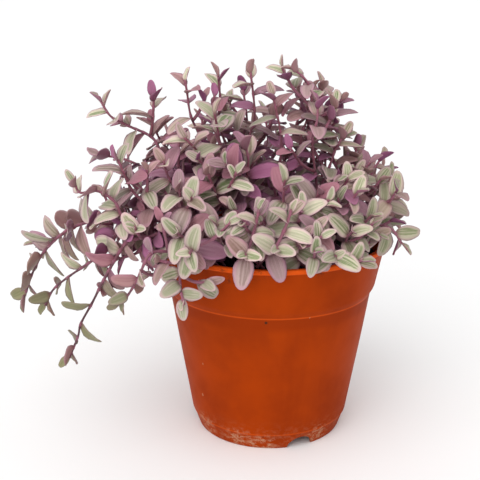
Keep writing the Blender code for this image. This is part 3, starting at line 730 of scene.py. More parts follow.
def fill_in(shoots, grown):
    """Leaves between and below those of the solid stems, and on the sprigs, each clear of what has grown."""
    draw = random.Random(SEED + 3)
    sprigs = grow_sprigs(shoots)
    for sprig in sprigs:
        grown.add_stem(sprig)
    plans = [(s, leaf_places(s)) for s in sprigs]
    plans += [(s, between_places(s)) for s in shoots if group_of(s) == "left"]
    plans += [(s, low_places(s)) for s in shoots if s.rooted and group_of(s) not in ("left", "right")]
    for shoot, places in plans:
        first = draw.uniform(*FIRST_TURN)
        for order, place in enumerate(places):
            turn = first + order * math.radians(LEAF_TURN)
            add_leaf(shoot, place, order if shoot in sprigs else GROWN_ORDER, turn, grown, draw)
    return [*shoots, *sprigs]


# Skins: closed surfaces whose points are worked out as whole arrays


class Skin:
    """A closed surface. Each point has a place on the piece, marks that tint it, and how far up it looks."""

    def __init__(self, points, faces, slot=0, place=None, marks=None, upper=None):
        self.points = points
        self.quads, self.tris = faces
        self.slot = slot
        self.place = points[:, :2] if place is None else place
        self.marks = np.zeros((len(points), 3)) if marks is None else marks
        self.upper = np.zeros(len(points)) if upper is None else upper


def skin_faces(count, rings, sides):
    """The faces of that many skins, each of one pole, rings of points and another pole, in that order."""
    size = rings * sides + 2
    i = np.arange(sides)
    j = (i + 1) % sides
    ring = 1 + sides * np.arange(rings - 1)[:, None]
    quads = np.stack((ring + i, ring + j, ring + sides + j, ring + sides + i), axis=-1).reshape(-1, 4)
    foot = np.stack((0 * i, 1 + j, 1 + i), axis=-1)
    top = np.stack((0 * i + size - 1, size - 1 - sides + i, size - 1 - sides + j), axis=-1)
    start = size * np.arange(count)[:, None, None]
    return (quads + start).reshape(-1, 4), (np.vstack((foot, top)) + start).reshape(-1, 3)


def with_poles(first, rings, last):
    """Arrays for each skin's points in the order that skin_faces counts them: pole, rings, pole."""
    flat = rings.reshape(len(rings), -1, rings.shape[-1])
    return np.concatenate((first[:, None], flat, last[:, None]), axis=1).reshape(-1, rings.shape[-1])


def mesh_piece(name, skins, finishes, smooth=True):
    """One object from skins in millimetres. Their places become a UV map and their marks attributes."""
    points = np.vstack([s.points for s in skins]) * MM
    starts = np.cumsum([0, *(len(s.points) for s in skins)])
    quads = np.vstack([s.quads + a for s, a in zip(skins, starts)])
    tris = np.vstack([s.tris + a for s, a in zip(skins, starts)])
    slots = [np.full(len(s.quads), s.slot) for s in skins] + [np.full(len(s.tris), s.slot) for s in skins]
    corners = np.concatenate((quads.ravel(), tris.ravel())).astype(np.int32)
    sizes = np.repeat((4, 3), (len(quads), len(tris)))

    mesh = bpy.data.meshes.new(name)
    mesh.vertices.add(len(points))
    mesh.vertices.foreach_set("co", points.astype(np.float32).ravel())
    mesh.loops.add(len(corners))
    mesh.loops.foreach_set("vertex_index", corners)
    mesh.polygons.add(len(sizes))
    mesh.polygons.foreach_set("loop_start", (np.cumsum(sizes) - sizes).astype(np.int32))
    mesh.polygons.foreach_set("material_index", np.concatenate(slots).astype(np.int32))
    mesh.polygons.foreach_set("use_smooth", np.full(len(sizes), smooth))
    mesh.update(calc_edges=True)

    def joined(values):
        return np.concatenate(values).astype(np.float32)

    place = joined([s.place for s in skins])[corners]
    mesh.uv_layers.new(name="place").data.foreach_set("uv", place.ravel())
    marks = joined([s.marks for s in skins])
    mesh.attributes.new("marks", "FLOAT_VECTOR", "POINT").data.foreach_set("vector", marks.ravel())
    upper = joined([s.upper for s in skins])
    mesh.attributes.new("upper", "FLOAT", "POINT").data.foreach_set("value", upper)
    for finish in finishes:
        mesh.materials.append(finish)
    return new_object(name, mesh)


def new_object(name, data):
    piece = bpy.data.objects.new(name, data)
    bpy.context.scene.collection.objects.link(piece)
    return piece


WAVES = 18
WAVE_RANGE = (0.6, 1.7)


def waves(points, size, seed):
    """A smooth uneven value, about -1 to 1: the mean of sines of about that length in random directions."""
    draw = np.random.default_rng(seed)
    ways = draw.normal(size=(points.shape[-1], WAVES))
    ways *= 2 * np.pi / (size * draw.uniform(*WAVE_RANGE, WAVES) * np.linalg.norm(ways, axis=0))
    return np.sin(points @ ways + draw.uniform(0, 2 * np.pi, WAVES)).sum(axis=-1) * (2 / WAVES) ** 0.5


def spokes(side, up, angles):
    """Unit directions round each ring: cos a of side and sin a of up, at each angle a."""
    return np.cos(angles)[:, None] * side[:, None] + np.sin(angles)[:, None] * up[:, None]


# Leaves

LEAF_STATIONS = np.array((0.03, 0.1, 0.23, 0.4, 0.6, 0.79, 0.92, 0.985))
LEAF_SIDES = 8
FULLER = 1.12
TIP_BLUNT = (0.6, 0.18)
ROOT_SUNK = 0.3
# The mound's middle and reach: the deeper a leaf lies in it, the more mauve it gets as painted shade
MOUND_MIDDLE = (-8.0, 6.0, 92.0)
MOUND_REACH = (88.0, 76.0, 112.0)
STRIPED_RANGE = (0.35, 1.0)
FLUSH_RANGE = (-0.38, 0.3)
FULL_FLUSH_AND_SHADE = 0.4
TRAIL_FLUSH = 0.3
EDGE_CURVE = 1.3
EDGE_WAVE = 0.3
EDGE_WAVES = 1.6
WAVE_SLANT = 0.2
BODY_SPAN = (0.08, 0.88)
BODY_BLUNT = 0.6
TWIST = 0.3
TWIST_FROM = 0.3


def egg(u):
    """The half width at u as a share of the widest: as outline gives it, with a blunter tip, for an array."""
    blunt, more = TIP_BLUNT
    return FULLER * np.maximum(0.0, np.sin(np.pi * u**EGG_LEAN)) ** (blunt - more * u)


def leaf_skins(leaves, thickness):
    """The leaves as one Skin, worked out together.

    A leaf is a lens-shaped ring carried from foot to tip. At share u of the length and angle t round the
    ring, a point lies cos t of the half width to the side, and sin t of the half thickness up. The midrib
    bends down by the arch, the halves rise by the fold, the edge waves a little, and the blade turns by its
    twist.
    """
    count = len(leaves)

    def each(name):
        return np.array([getattr(leaf, name) for leaf in leaves], float)

    def wide(values):
        return values.reshape(count, 1, 1, *values.shape[1:])

    along, normal, side = (wide(each(name)) for name in ("along", "normal", "side"))
    foot = wide(each("foot") + each("shift"))
    names = ("length", "width", "arch", "fold", "twist", "phase")
    length, width, arch, fold, twist, phase = (wide(each(name)) for name in names)

    def at(u, t):
        v = np.cos(t)
        half = 0.5 * width * egg(u)
        reach = length * u * (1 - arch**2 * u**2 / ARCH_SHORTENS)
        rise = -0.5 * length * u * arch * (u - LEVEL_SHARE)
        lift = half * np.abs(v) ** EDGE_CURVE * np.sin(fold)
        wave = EDGE_WAVE * v**2 * np.sin(2 * np.pi * (EDGE_WAVES * u + phase + WAVE_SLANT * v)) * egg(u)
        fullness = np.sin(np.pi * (BODY_SPAN[0] + BODY_SPAN[1] * u)) ** BODY_BLUNT
        body = 0.5 * thickness * np.sin(t) * fullness
        turn = twist * (u - TWIST_FROM)
        across, up = half * v * np.cos(fold), lift + wave + body
        sideways = across * np.cos(turn) - up * np.sin(turn)
        upwards = rise + (across * np.sin(turn) + up * np.cos(turn))
        return foot + along * reach[..., None] + normal * upwards[..., None] + side * sideways[..., None]

    def spread(values):
        return np.broadcast_to(values, (count, *values.shape))

    def ends(*values):
        return spread(np.array(values, float))

    u, t = np.meshgrid(LEAF_STATIONS, 2 * np.pi * np.arange(LEAF_SIDES) / LEAF_SIDES, indexing="ij")
    base = (foot - along * ROOT_SUNK)[:, 0, 0]
    tip = at(np.ones((1, 1, 1)), np.full((1, 1, 1), np.pi / 2))[:, 0, 0]
    points = with_poles(base, at(u[None], t[None]), tip)
    places = spread(np.stack((u, 0.5 + 0.5 * np.cos(t)), axis=-1))
    place = with_poles(ends(0, 0.5), places, ends(1, 0.5))
    upper = with_poles(ends(0.5), spread((0.5 + 0.5 * np.sin(t))[..., None]), ends(0.5))[:, 0]
    marks = np.repeat(each("marks"), u.size + 2, axis=0)
    return Skin(points, skin_faces(count, *u.shape), 0, place, marks, upper)


def tint(shoots):
    """Gives each leaf its shift from the solid stem to the finer one, its twist, phase and marks.

    The phase is that of its edge's wave. The marks are a tone, how striped and how mauve it is. The mauve is
    partly the leaf's own flush and partly painted shade, which grows with the leaf's depth in the mound.
    """
    draw = np.random.default_rng(SEED + 23)
    for shoot in shoots:
        trailing = group_of(shoot) == "left"
        for leaf in shoot.leaves:
            leaf.shift = shoot.at(leaf.place) - shoot.chord(leaf.place)
            leaf.twist = draw.normal(0, TWIST)
            leaf.phase = draw.uniform()
            # The deeper the leaf lies in the mound, the more mauve it gets: painted shade on top of its own
            # flush
            depth = 1 - np.linalg.norm((leaf.foot - MOUND_MIDDLE) / MOUND_REACH)
            flush_and_shade = depth + TRAIL_FLUSH * trailing + draw.uniform(*FLUSH_RANGE)
            leaf.marks = (draw.uniform(), draw.uniform(*STRIPED_RANGE), np.clip(flush_and_shade / FULL_FLUSH_AND_SHADE, 0, 1))


# Stems

STEM_SKIN_SIDES = 8
STEM_SKIN_RADII = (0.95, 0.48)
STEM_MAP_LENGTH = 20
SHEATH_SWELL = 0.42
SHEATH_LENGTH = 1.7
ROOT_DEPTH = 6.0
HAIRS = 6
HAIR_SIDES = 3
HAIR_LENGTH = (0.9, 2.0)
HAIR_LEAN = 0.7
HAIR_WANDER = 0.2
HAIR_THICKNESS = 0.08
HAIR_WIDEST = 0.2
HAIR_ROOT = 0.8


def stem_skin(shoot, tone):
    """A round ring carried along the shoot's line. It swells where a leaf's sheath wraps the stem."""
    line = shoot.line
    if shoot.rooted:
        line = np.vstack((line[0] - (0, 0, ROOT_DEPTH), line))
    along = distances(line)
    length = along[-1]
    heading = unit_rows(np.gradient(line, axis=0))
    square = np.linalg.svd(heading)[2][-1]
    side = unit_rows(np.cross(heading, square))
    up = np.cross(heading, side)

    places = np.array([leaf.place for leaf in shoot.leaves]) + (length - shoot.length)
    past = along[:, None] - places - 0.5 * SHEATH_LENGTH
    sheath = np.exp(-((past / SHEATH_LENGTH) ** 2)).max(axis=1, initial=0)
    radius = np.interp(along, (0, length), STEM_SKIN_RADII) * (1 + SHEATH_SWELL * sheath)
    angles = 2 * np.pi * np.arange(STEM_SKIN_SIDES) / STEM_SKIN_SIDES
    rings = line[:, None] + radius[:, None, None] * spokes(side, up, angles)

    def per_ring(*values):
        rows = np.stack(values, axis=-1)[:, None]
        return np.broadcast_to(rows, (len(line), STEM_SKIN_SIDES, len(values)))

    def capped(values):
        return with_poles(values[None, 0, 0], values[None], values[None, -1, 0])

    round_it = np.broadcast_to(np.abs(angles / np.pi - 1)[:, None], (len(line), STEM_SKIN_SIDES, 1))
    place = np.concatenate((per_ring(along / STEM_MAP_LENGTH), round_it), axis=-1)
    marks = per_ring(np.full(len(line), tone), sheath, along / length)
    points = with_poles(line[:1], rings[None], line[-1:])
    return Skin(points, skin_faces(1, len(line), STEM_SKIN_SIDES), 1, capped(place), capped(marks))


def hair_skins(shoots, draw):
    """The hairs round the mouth of each leaf's sheath: thin three-sided spindles, all worked out together.

    A hair starts on the sheath in a random direction out from the stem, and leans from there to the tip.
    """
    spots = [(shoot, leaf.place + 0.5 * SHEATH_LENGTH) for shoot in shoots for leaf in shoot.leaves]
    middles = np.array([shoot.at(place) for shoot, place in spots]).repeat(HAIRS, axis=0)
    along = unit_rows(np.array([shoot.heading(place) for shoot, place in spots]).repeat(HAIRS, axis=0))
    share = np.array([place / shoot.length for shoot, place in spots]).repeat(HAIRS)
    radius = np.interp(share, (0, 1), STEM_SKIN_RADII)[:, None] * (1 + HAIR_ROOT * SHEATH_SWELL)
    out = unit_rows(np.cross(along, draw.normal(size=along.shape)))
    ways = unit_rows(along + HAIR_LEAN * out + draw.normal(0, HAIR_WANDER, along.shape))
    side = unit_rows(np.cross(ways, out))
    feet = middles + radius * out
    length = draw.uniform(*HAIR_LENGTH, (len(feet), 1))
    round_it = spokes(side, np.cross(ways, side), 2 * np.pi * np.arange(HAIR_SIDES) / HAIR_SIDES)
    rings = (feet + HAIR_WIDEST * length * ways)[:, None] + 0.5 * HAIR_THICKNESS * round_it
    points = with_poles(feet, rings, feet + length * ways)
    return Skin(points, skin_faces(len(feet), 1, HAIR_SIDES), 2, np.zeros((len(points), 2)))


# The pot, the soil and what lies on it

POT_SKIN_SIDES = 160
SHARP_ANGLE = math.radians(40)

# The size of the curve at each corner of the pot's profile
POT_CORNERS = (
    0.0, 1.2, 1.0, 1.0, 0.6, 0.6, 1.2, 0.6, 0.9, 1.2, 0.7, 0.9, 0.6, 1.6, 1.6, 2.0, 1.5, 1.0, 1.0, 0.8, 0.0
)
CORNER_STEPS = 4
CORNER_SHARE = 0.45
RUN_STEP = 5.0

# The wall's slow waves: how high and how long they are, the height that they start at, how far above it
# they are full, and the radius outside which they go
WALL_WAVE = 0.16
WALL_WAVE_SIZE = 55
WALL_WAVE_START = 12
WALL_WAVE_FULL = 40
WALL_INSIDE = 30
NOTCH_ARC = (4, 176, 17)
DRAIN_SIDES = 24

# The soil's relief: the size of each kind of wave, its seed and its share of the height. It begins
# CLODS_FROM below the soil's top and is full CLODS_FULL above that.
SOIL_WAVES = ((26, 5, 0.7), (6, 6, 0.5), (2.6, 7, 0.3))
CLOD_HEIGHT = 0.9
CLODS_FROM = 6
CLODS_FULL = 4
SOIL_DROP = 0.5
SOIL_RINGS = 60
SOIL_SKIN_SIDES = 120
CRUMB_SIDES = 6
CRUMB_RINGS = 3
CRUMB_EDGE = 3
CRUMB_ROUGH = (0.72, 1.25)

# The crumbs' range of sizes, and how thin the flattest are
PEAT = ((0.9, 3.2), 0.45)
PERLITE = ((1.0, 2.6), 0.7)


def rounded(profile, sizes):
    """The profile with a curve for each corner, between points at that size from it, and with long runs cut.

    A curve's points are (1-s)(1-s) of the first end, 2s(1-s) of the corner and s s of the second end.
    """
    points = np.array(profile, float)
    made = [points[:1]]
    s = np.linspace(0, 1, CORNER_STEPS + 1)[:, None]
    for before, corner, after, size in zip(points, points[1:], points[2:], sizes[1:]):
        gaps = np.linalg.norm(before - corner), np.linalg.norm(after - corner)
        size = min(size, *(CORNER_SHARE * gap for gap in gaps))
        first = corner + (before - corner) * size / gaps[0]
        last = corner + (after - corner) * size / gaps[1]
        made.append((1 - s) ** 2 * first + 2 * s * (1 - s) * corner + s**2 * last)
    line = np.vstack((*made, points[-1:]))
    along = distances(line)
    gaps = np.linalg.norm(np.diff(line, axis=0), axis=1)
    parts = np.ceil(gaps / RUN_STEP).astype(int)
    fine = np.concatenate([a + g * np.arange(n) / n for a, g, n in zip(along, gaps, parts)] + [along[-1:]])
    return points_at(fine, along, line)


def turned_skin(profile, sides, shape=None):
    """A profile of radius and height carried round the axis: x is r cos a, y is r sin a, ends are poles."""
    ring, a = np.meshgrid(np.arange(1, len(profile) - 1), 2 * np.pi * np.arange(sides) / sides, indexing="ij")
    r, z = profile[ring, 0], profile[ring, 1]
    points = np.stack((r * np.cos(a), r * np.sin(a), z), axis=-1)
    if shape:
        points = shape(points)
    first, last = (np.array([(0.0, 0.0, height)]) for height in (profile[0, 1], profile[-1, 1]))
    return Skin(with_poles(first, points[None], last), skin_faces(1, len(profile) - 2, sides))


def uneven_wall(points):
    """The thin wall is a little uneven: its radius swells and sinks by slow waves above the foot."""
    r = np.linalg.norm(points[..., :2], axis=-1, keepdims=True)
    outwards = points * (1, 1, 0) / np.maximum(r, 1.0)
    share = np.clip((points[..., 2:] - WALL_WAVE_START) / WALL_WAVE_FULL, 0, 1) * (r > WALL_INSIDE)
    return points + outwards * share * WALL_WAVE * waves(points / (1, 1, 2), WALL_WAVE_SIZE, SEED)[..., None]


def prism_skin(corners, low, high):
    """A prism between two rings of corners."""
    rings = np.stack((corners + low, corners + high))[None]
    points = with_poles(rings[:, 0].mean(axis=1), rings, rings[:, 1].mean(axis=1))
    return Skin(points, skin_faces(1, 2, len(corners)))


def notch_skin(azimuth):
    """An arch carried outwards through the foot ring: half an ellipse on a short straight foot."""
    t = np.radians(np.linspace(*NOTCH_ARC))
    out, across = at_radius(1, azimuth), at_radius(1, azimuth + 90)
    arch = across * (0.5 * NOTCH_WIDTH * np.cos(t))[:, None] + UP * (NOTCH_HEIGHT * np.sin(t))[:, None]
    foot = across * (0.5 * NOTCH_WIDTH) * np.array((-1, 1))[:, None] - UP * CUT_PAST
    corners = np.vstack((arch, foot))
    return prism_skin(corners, out * (FOOT_RADIUS - 3 * CUT_PAST), out * (FOOT_RADIUS + 3 * CUT_PAST))


def drain_skin(azimuth):
    """A round bar through the floor."""
    t = 2 * np.pi * np.arange(DRAIN_SIDES)[:, None] / DRAIN_SIDES
    ring = DRAIN_RADIUS * (np.cos(t) * (1, 0, 0) + np.sin(t) * (0, 1, 0))
    corners = at_radius(DRAIN_CIRCLE, azimuth) + ring
    return prism_skin(corners, UP * (FLOOR_Z - CUT_PAST), UP * (FLOOR_Z + WALL + CUT_PAST))


def take_out(target, skin):
    """Takes the skin's shape out of the target."""
    cutter = mesh_piece("cutter", [skin], [])
    boolean = target.modifiers.new("opening", "BOOLEAN")
    boolean.operation = "DIFFERENCE"
    boolean.solver = "EXACT"
    boolean.object = cutter
    bpy.context.view_layer.objects.active = target
    bpy.ops.object.modifier_apply(modifier=boolean.name)
    bpy.data.objects.remove(cutter)


def soil_height(x, y):
    """The soil's relief at a place: slow swells and small clods."""
    place = np.stack((x, y), axis=-1)
    return CLOD_HEIGHT * sum(share * waves(place, size, seed) for size, seed, share in SOIL_WAVES)


def cloddy(points):
    """Raises the soil's top by its relief, and leaves its sides as they are."""
    top = np.clip((points[..., 2] - SOIL_Z + CLODS_FROM) / CLODS_FULL, 0, 1)
    return points + UP * (top * soil_height(points[..., 0], points[..., 1]))[..., None]


def crumb_skins(count, sizes, flat, seed):
    """Crumbs on the soil: balls of a few sides with each point moved in or out, flattened and half sunk."""
    draw = np.random.default_rng(seed)
    r = (float(inner_radius(SOIL_Z)) - CRUMB_EDGE) * np.sqrt(draw.uniform(0, 1, count))
    a = draw.uniform(0, 2 * np.pi, count)
    size = draw.uniform(*sizes, count) * 0.5
    x, y = r * np.cos(a), r * np.sin(a)
    middle = np.stack((x, y, SOIL_Z - SOIL_DROP + soil_height(x, y) + 0.25 * size), axis=-1)
    turn = np.linalg.qr(draw.normal(size=(count, 3, 3)))[0]
    turn *= np.linalg.det(turn)[:, None, None]
    axes = turn * draw.uniform(flat, 1.0, (count, 3, 1)) * size[:, None, None]
    levels = np.pi * np.arange(1, CRUMB_RINGS + 1) / (CRUMB_RINGS + 1)
    lat, lon = np.meshgrid(levels, 2 * np.pi * np.arange(CRUMB_SIDES) / CRUMB_SIDES, indexing="ij")
    ball = np.stack((np.sin(lat) * np.cos(lon), np.sin(lat) * np.sin(lon), -np.cos(lat)), axis=-1)
    rough = draw.uniform(*CRUMB_ROUGH, (count, CRUMB_RINGS, CRUMB_SIDES, 1))
    rings = middle[:, None, None] + np.einsum("nrsk,nkl->nrsl", ball * rough, axes)
    points = with_poles(middle - axes[:, 2], rings, middle + axes[:, 2])
    tone = np.repeat(draw.uniform(0, 1, (count, 1)), lat.size + 2, axis=0)
    return Skin(points, skin_faces(count, CRUMB_RINGS, CRUMB_SIDES), marks=tone * (1, 0, 0))


# Materials

# Where the foot is rubbed pale, where dirt sticks to the wall and where the rim is darker: each place and its
# size
SCUFFED = (((-16, -38, 4), 11), ((-4, -41, 3), 9), ((-34, -24, 8), 9), ((24, -32, 5), 10))
DIRT = (((-3.5, -54.6, 77.8), 1.0), ((-2.5, -61.5, 100), 0.7))
PALE_SPECKS = (((-12.1, -60.5, 99.5), 0.6), ((15.5, -59.8, 97), 0.35))
RIM_DARK_PATCHES = (((-18, -59, 106), 12), ((-4, -62, 106), 6), ((22, -58, 106), 5))
DARK_SPOT_COLOUR = (0.045, 0.02, 0.012)
SPOT_CORE = 0.4
SPECK_REACH = 0.22
VEINS = 75.0
VEIN_DEPTH = 0.25
GREEN_LINES = 0.2

# Heights and widths on the pot, in metres: the painted highlight on the lip, the painted shade under the
# step, the scuffs, and the painted highlight lines at the step and the foot
LIP_HIGHLIGHT = (0.1047, 0.1055)
STEP_SHADE = (0.0705, 0.0755)
STEP_EDGE = (0.0792, 0.0796)
SCUFF_HEIGHT = (0.002, 0.02)
HIGHLIGHT_WIDTH = (0.0002, 0.0007)
EDGE_HIGHLIGHTS = (((BODY_TOP_Z + 0.4) * MM, 0.3), (BODY_FOOT_Z * MM, 0.22))

# Where the hanging ends begin, where the low stems get painted fill light, and where the right side turns
# olive, partly as painted shade, in metres
HANG_X = (-0.075, -0.055)
HANG_LEAF_Z = (0.085, 0.115)
HANG_STEM_Z = (0.085, 0.13)
INNER_STEM_X = (-0.085, -0.045)
INNER_STEM_Z = (0.12, 0.15)
SHADED_SIDE_X = (0.02, 0.06)


class Sheet:
    """A node tree to add nodes to. A value may be a number, a colour or another node's output."""

    def __init__(self, tree):
        self.tree = tree

    def put(self, socket, value):
        if isinstance(value, bpy.types.NodeSocket):
            self.tree.links.new(value, socket)
        else:
            socket.default_value = (*value, 1) if socket.type == "RGBA" else value

    def node(self, kind, inputs=None, **settings):
        made = self.tree.nodes.new(kind)
        for name, value in settings.items():
            setattr(made, name, value)
        for key, value in (inputs or {}).items():
            self.put(made.inputs[key], value)
        return made

    def math(self, operation, *values):
        return self.node("ShaderNodeMath", dict(enumerate(values)), operation=operation).outputs[0]

    def times(self, first, *rest):
        for value in rest:
            first = self.math("MULTIPLY", first, value)
        return first

    def most(self, first, *rest):
        for value in rest:
            first = self.math("MAXIMUM", first, value)
        return first

    def off(self, value, middle):
        """How far the value lies from the middle."""
        return self.math("ABSOLUTE", self.math("SUBTRACT", value, middle))

    def ramp(self, value, low, high, end=1.0, start=0.0):
        """A smooth step from start to end as the value goes from low to high."""
        inputs = {"Value": value, "From Min": low, "From Max": high, "To Min": start, "To Max": end}
        return self.node("ShaderNodeMapRange", inputs, interpolation_type="SMOOTHSTEP").outputs[0]

    def fall(self, value, low, high, start=1.0):
        """A smooth step down from start to nothing."""
        return self.ramp(value, low, high, 0.0, start)

    def mix(self, share, first, second, blend="MIX"):
        inputs = {0: share, 6: first, 7: second}
        return self.node("ShaderNodeMix", inputs, data_type="RGBA", blend_type=blend).outputs[2]

    def coats(self, colour, *coats):
        """Each coat, which is a share and a colour, laid over the colour in turn."""
        for share, coat in coats:
            colour = self.mix(share, colour, coat)
        return colour

    def noise(self, vector, scale, detail=2.0, roughness=0.5):
        inputs = {"Vector": vector, "Scale": scale, "Detail": detail, "Roughness": roughness}
        return self.node("ShaderNodeTexNoise", inputs).outputs["Fac"]

    def vector(self, operation, *values):
        return self.node("ShaderNodeVectorMath", dict(enumerate(values)), operation=operation).outputs

    def stretch(self, vector, scale):
        return self.vector("MULTIPLY", vector, scale)["Vector"]

    def object_place(self):
        return self.node("ShaderNodeTexCoord").outputs["Object"]

    def surface_place(self):
        return self.split(self.node("ShaderNodeUVMap", uv_map="place").outputs[0])[:2]

    def attribute(self, name, output):
        return self.node("ShaderNodeAttribute", attribute_name=name).outputs[output]

    def split(self, vector):
        return self.node("ShaderNodeSeparateXYZ", {0: vector}).outputs

    def join(self, *values):
        return self.node("ShaderNodeCombineXYZ", dict(enumerate(values))).outputs[0]

    def spots(self, place, marks):
        """One at each mark's place in millimetres, and less with distance, to nothing at its size from it."""
        made = []
        for middle, size in marks:
            far = self.vector("DISTANCE", place, tuple(k * MM for k in middle))["Value"]
            made.append(self.fall(far, SPOT_CORE * size * MM, size * MM))
        return self.most(*made)

    def group(self, tree, **inputs):
        return self.node("ShaderNodeGroup", inputs, node_tree=tree).outputs


class MaterialSheet(Sheet):
    """A new material's nodes. The values that are the same all over are set on its shader."""

    def __init__(self, name, **shader_values):
        self.material = bpy.data.materials.new(name)
        self.material.use_nodes = True
        super().__init__(self.material.node_tree)
        self.shader = self.tree.nodes["Principled BSDF"]
        for socket, value in shader_values.items():
            self.put(self.shader.inputs[socket.replace("_", " ")], value)

    def finished(self, colour, height, strength, distance):
        """The material with its colour and a bump by that height."""
        inputs = {"Height": height, "Strength": strength, "Distance": distance}
        self.put(self.shader.inputs["Base Color"], colour)
        self.put(self.shader.inputs["Normal"], self.node("ShaderNodeBump", inputs).outputs[0])
        return self.material


class GroupSheet(Sheet):
    """A new node group's nodes, with number or vector inputs and number outputs."""

    def __init__(self, name, inputs, outputs):
        super().__init__(bpy.data.node_groups.new(name, "ShaderNodeTree"))
        sockets = self.tree.interface
        for socket, value in inputs.items():
            kind = "NodeSocketVector" if isinstance(value, tuple) else "NodeSocketFloat"
            sockets.new_socket(socket, in_out="INPUT", socket_type=kind).default_value = value
        for socket in outputs:
            sockets.new_socket(socket, in_out="OUTPUT", socket_type="NodeSocketFloat")
        self.given = self.node("NodeGroupInput").outputs
        self.out = self.node("NodeGroupOutput").inputs


def streaks_group():
    """Streaks along a leaf or stem: noise drawn out along it, as a mask and as a height with fine veins."""
    inputs = {"Along": 0.0, "Across": 0.0, "Seed": 0.0, "Width": 1.0}
    sheet = GroupSheet("plant_streaks", inputs, ("Mask", "Height"))
    along, across, seed, width = (sheet.given[name] for name in inputs)
    place = sheet.join(sheet.times(along, 0.9), sheet.times(across, width), sheet.times(seed, 41.0))
    noise = sheet.noise(place, 1.0, 2.0, 0.6)
    veins = sheet.math("SINE", sheet.times(across, VEINS))
    sheet.put(sheet.out["Mask"], sheet.ramp(noise, 0.42, 0.66))
    sheet.put(sheet.out["Height"], sheet.math("ADD", noise, sheet.times(veins, VEIN_DEPTH)))
    return sheet.tree


def specks_group():
    """Small scattered specks on an object's surface."""
    inputs = {"Place": (0.0, 0.0, 0.0), "Scale": 1.0, "Share": 0.1}
    sheet = GroupSheet("surface_specks", inputs, ("Specks",))
    place, scale, share = (sheet.given[name] for name in inputs)
    cells = sheet.node("ShaderNodeTexVoronoi", {"Vector": place, "Scale": scale}).outputs
    near = sheet.math("LESS_THAN", cells["Distance"], SPECK_REACH)
    chosen = sheet.math("LESS_THAN", sheet.split(cells["Color"])[0], share)
    sheet.put(sheet.out["Specks"], sheet.times(near, chosen))
    return sheet.tree


def shared_group(name, make):
    return bpy.data.node_groups.get(name) or make()


def leaf_material(look, streaks):
    """Pale striped upper sides with a pink-white edge, and mauve undersides. The mauve flush on the upper
    sides is partly painted shade deep in the mound, and the right side's olive is partly painted shade.
    """
    sheet = MaterialSheet("leaf_blade", Roughness=0.5, Specular_IOR_Level=0.3, Sheen_Weight=0.06)
    ramp, fall, times, most = sheet.ramp, sheet.fall, sheet.times, sheet.most
    u, v = sheet.surface_place()
    tone, striped, mauve = sheet.split(sheet.attribute("marks", "Vector"))
    x, _, z = sheet.split(sheet.object_place())
    edge = sheet.math("ABSOLUTE", sheet.math("MULTIPLY_ADD", v, 2.0, -1.0))
    streak = sheet.group(streaks, Along=u, Across=v, Seed=tone, Width=5.5)
    hanging = times(fall(x, *HANG_X), fall(z, *HANG_LEAF_Z))

    lines = fall(sheet.off(edge, GREEN_LINES), 0.05, 0.17, 0.9)
    inside = times(fall(edge, 0.6, 0.88), fall(u, 0.82, 0.97))
    green = times(most(lines, streak["Mask"]), inside, striped)
    frost = ramp(sheet.noise(sheet.object_place(), 1100.0, 3.0, 0.7), 0.4, 0.7, 0.2)
    rim = most(ramp(edge, 0.46, 0.9, 0.85), ramp(u, 0.78, 1.0, 0.85), frost)
    flush_and_shade = sheet.mix(fall(tone, 0.35, 0.6), look.mauve, look.vivid_mauve)
    # Olive on the hanging ends, and on the right side partly its leaves' own olive, partly painted shade
    hanging_and_shaded_side = most(times(hanging, 0.85), ramp(x, *SHADED_SIDE_X, 0.3))
    top = sheet.coats(
        look.cream,
        (green, look.green),
        (rim, look.edge),
        # The mauve flush, partly painted shade deep in the mound
        (times(mauve, 0.88), flush_and_shade),
        (hanging_and_shaded_side, look.olive),
    )

    dull = most(ramp(tone, 0.1, 0.65), times(hanging, 0.9))
    under = sheet.coats(
        look.underside,
        (times(dull, 0.85), look.dull_underside),
        (times(hanging, ramp(tone, 0.3, 0.7, 0.6)), look.olive),
        (times(streak["Mask"], 0.25), look.mauve),
        (ramp(edge, 0.8, 1.0, 0.35), look.edge),
    )

    upper = ramp(sheet.attribute("upper", "Fac"), 0.47, 0.55)
    colour = sheet.coats(under, (upper, top), (fall(u, 0.0, 0.24, 0.75), look.stem))
    shade = sheet.math("MULTIPLY_ADD", tone, 0.4, 0.75)
    colour = sheet.mix(1.0, colour, sheet.join(shade, shade, shade), "MULTIPLY")
    return sheet.finished(colour, streak["Height"], 0.35, 0.0004)


def stem_material(look, streaks):
    """Purple-brown stems with fine streaks, paler where a sheath wraps them, with painted fill light on the
    low stems inside the mound.
    """
    sheet = MaterialSheet("stem", Roughness=0.5, Specular_IOR_Level=0.4, Sheen_Weight=0.1)
    ramp, fall, times = sheet.ramp, sheet.fall, sheet.times
    u, v = sheet.surface_place()
    tone, sheath, _ = sheet.split(sheet.attribute("marks", "Vector"))
    x, _, z = sheet.split(sheet.object_place())
    streak = sheet.group(streaks, Along=u, Across=v, Seed=tone, Width=3.0)
    # The low stems inside the mound are painted lighter: painted fill light
    inner = times(ramp(x, *INNER_STEM_X), fall(z, *INNER_STEM_Z, 0.5))
    colour = sheet.coats(
        look.stem,
        (sheet.most(times(streak["Mask"], 0.5), inner), look.streak_and_fill_light),
        (times(fall(x, *HANG_X), fall(z, *HANG_STEM_Z, 0.85)), look.old_stem),
        (ramp(sheath, 0.3, 0.9, 0.55), look.mauve),
    )
    return sheet.finished(colour, streak["Height"], 0.3, 0.0004)


def hair_material(look):
    """Pale matt hairs."""
    return MaterialSheet("hair", Base_Color=look.hair, Roughness=0.6, Sheen_Weight=0.2).material


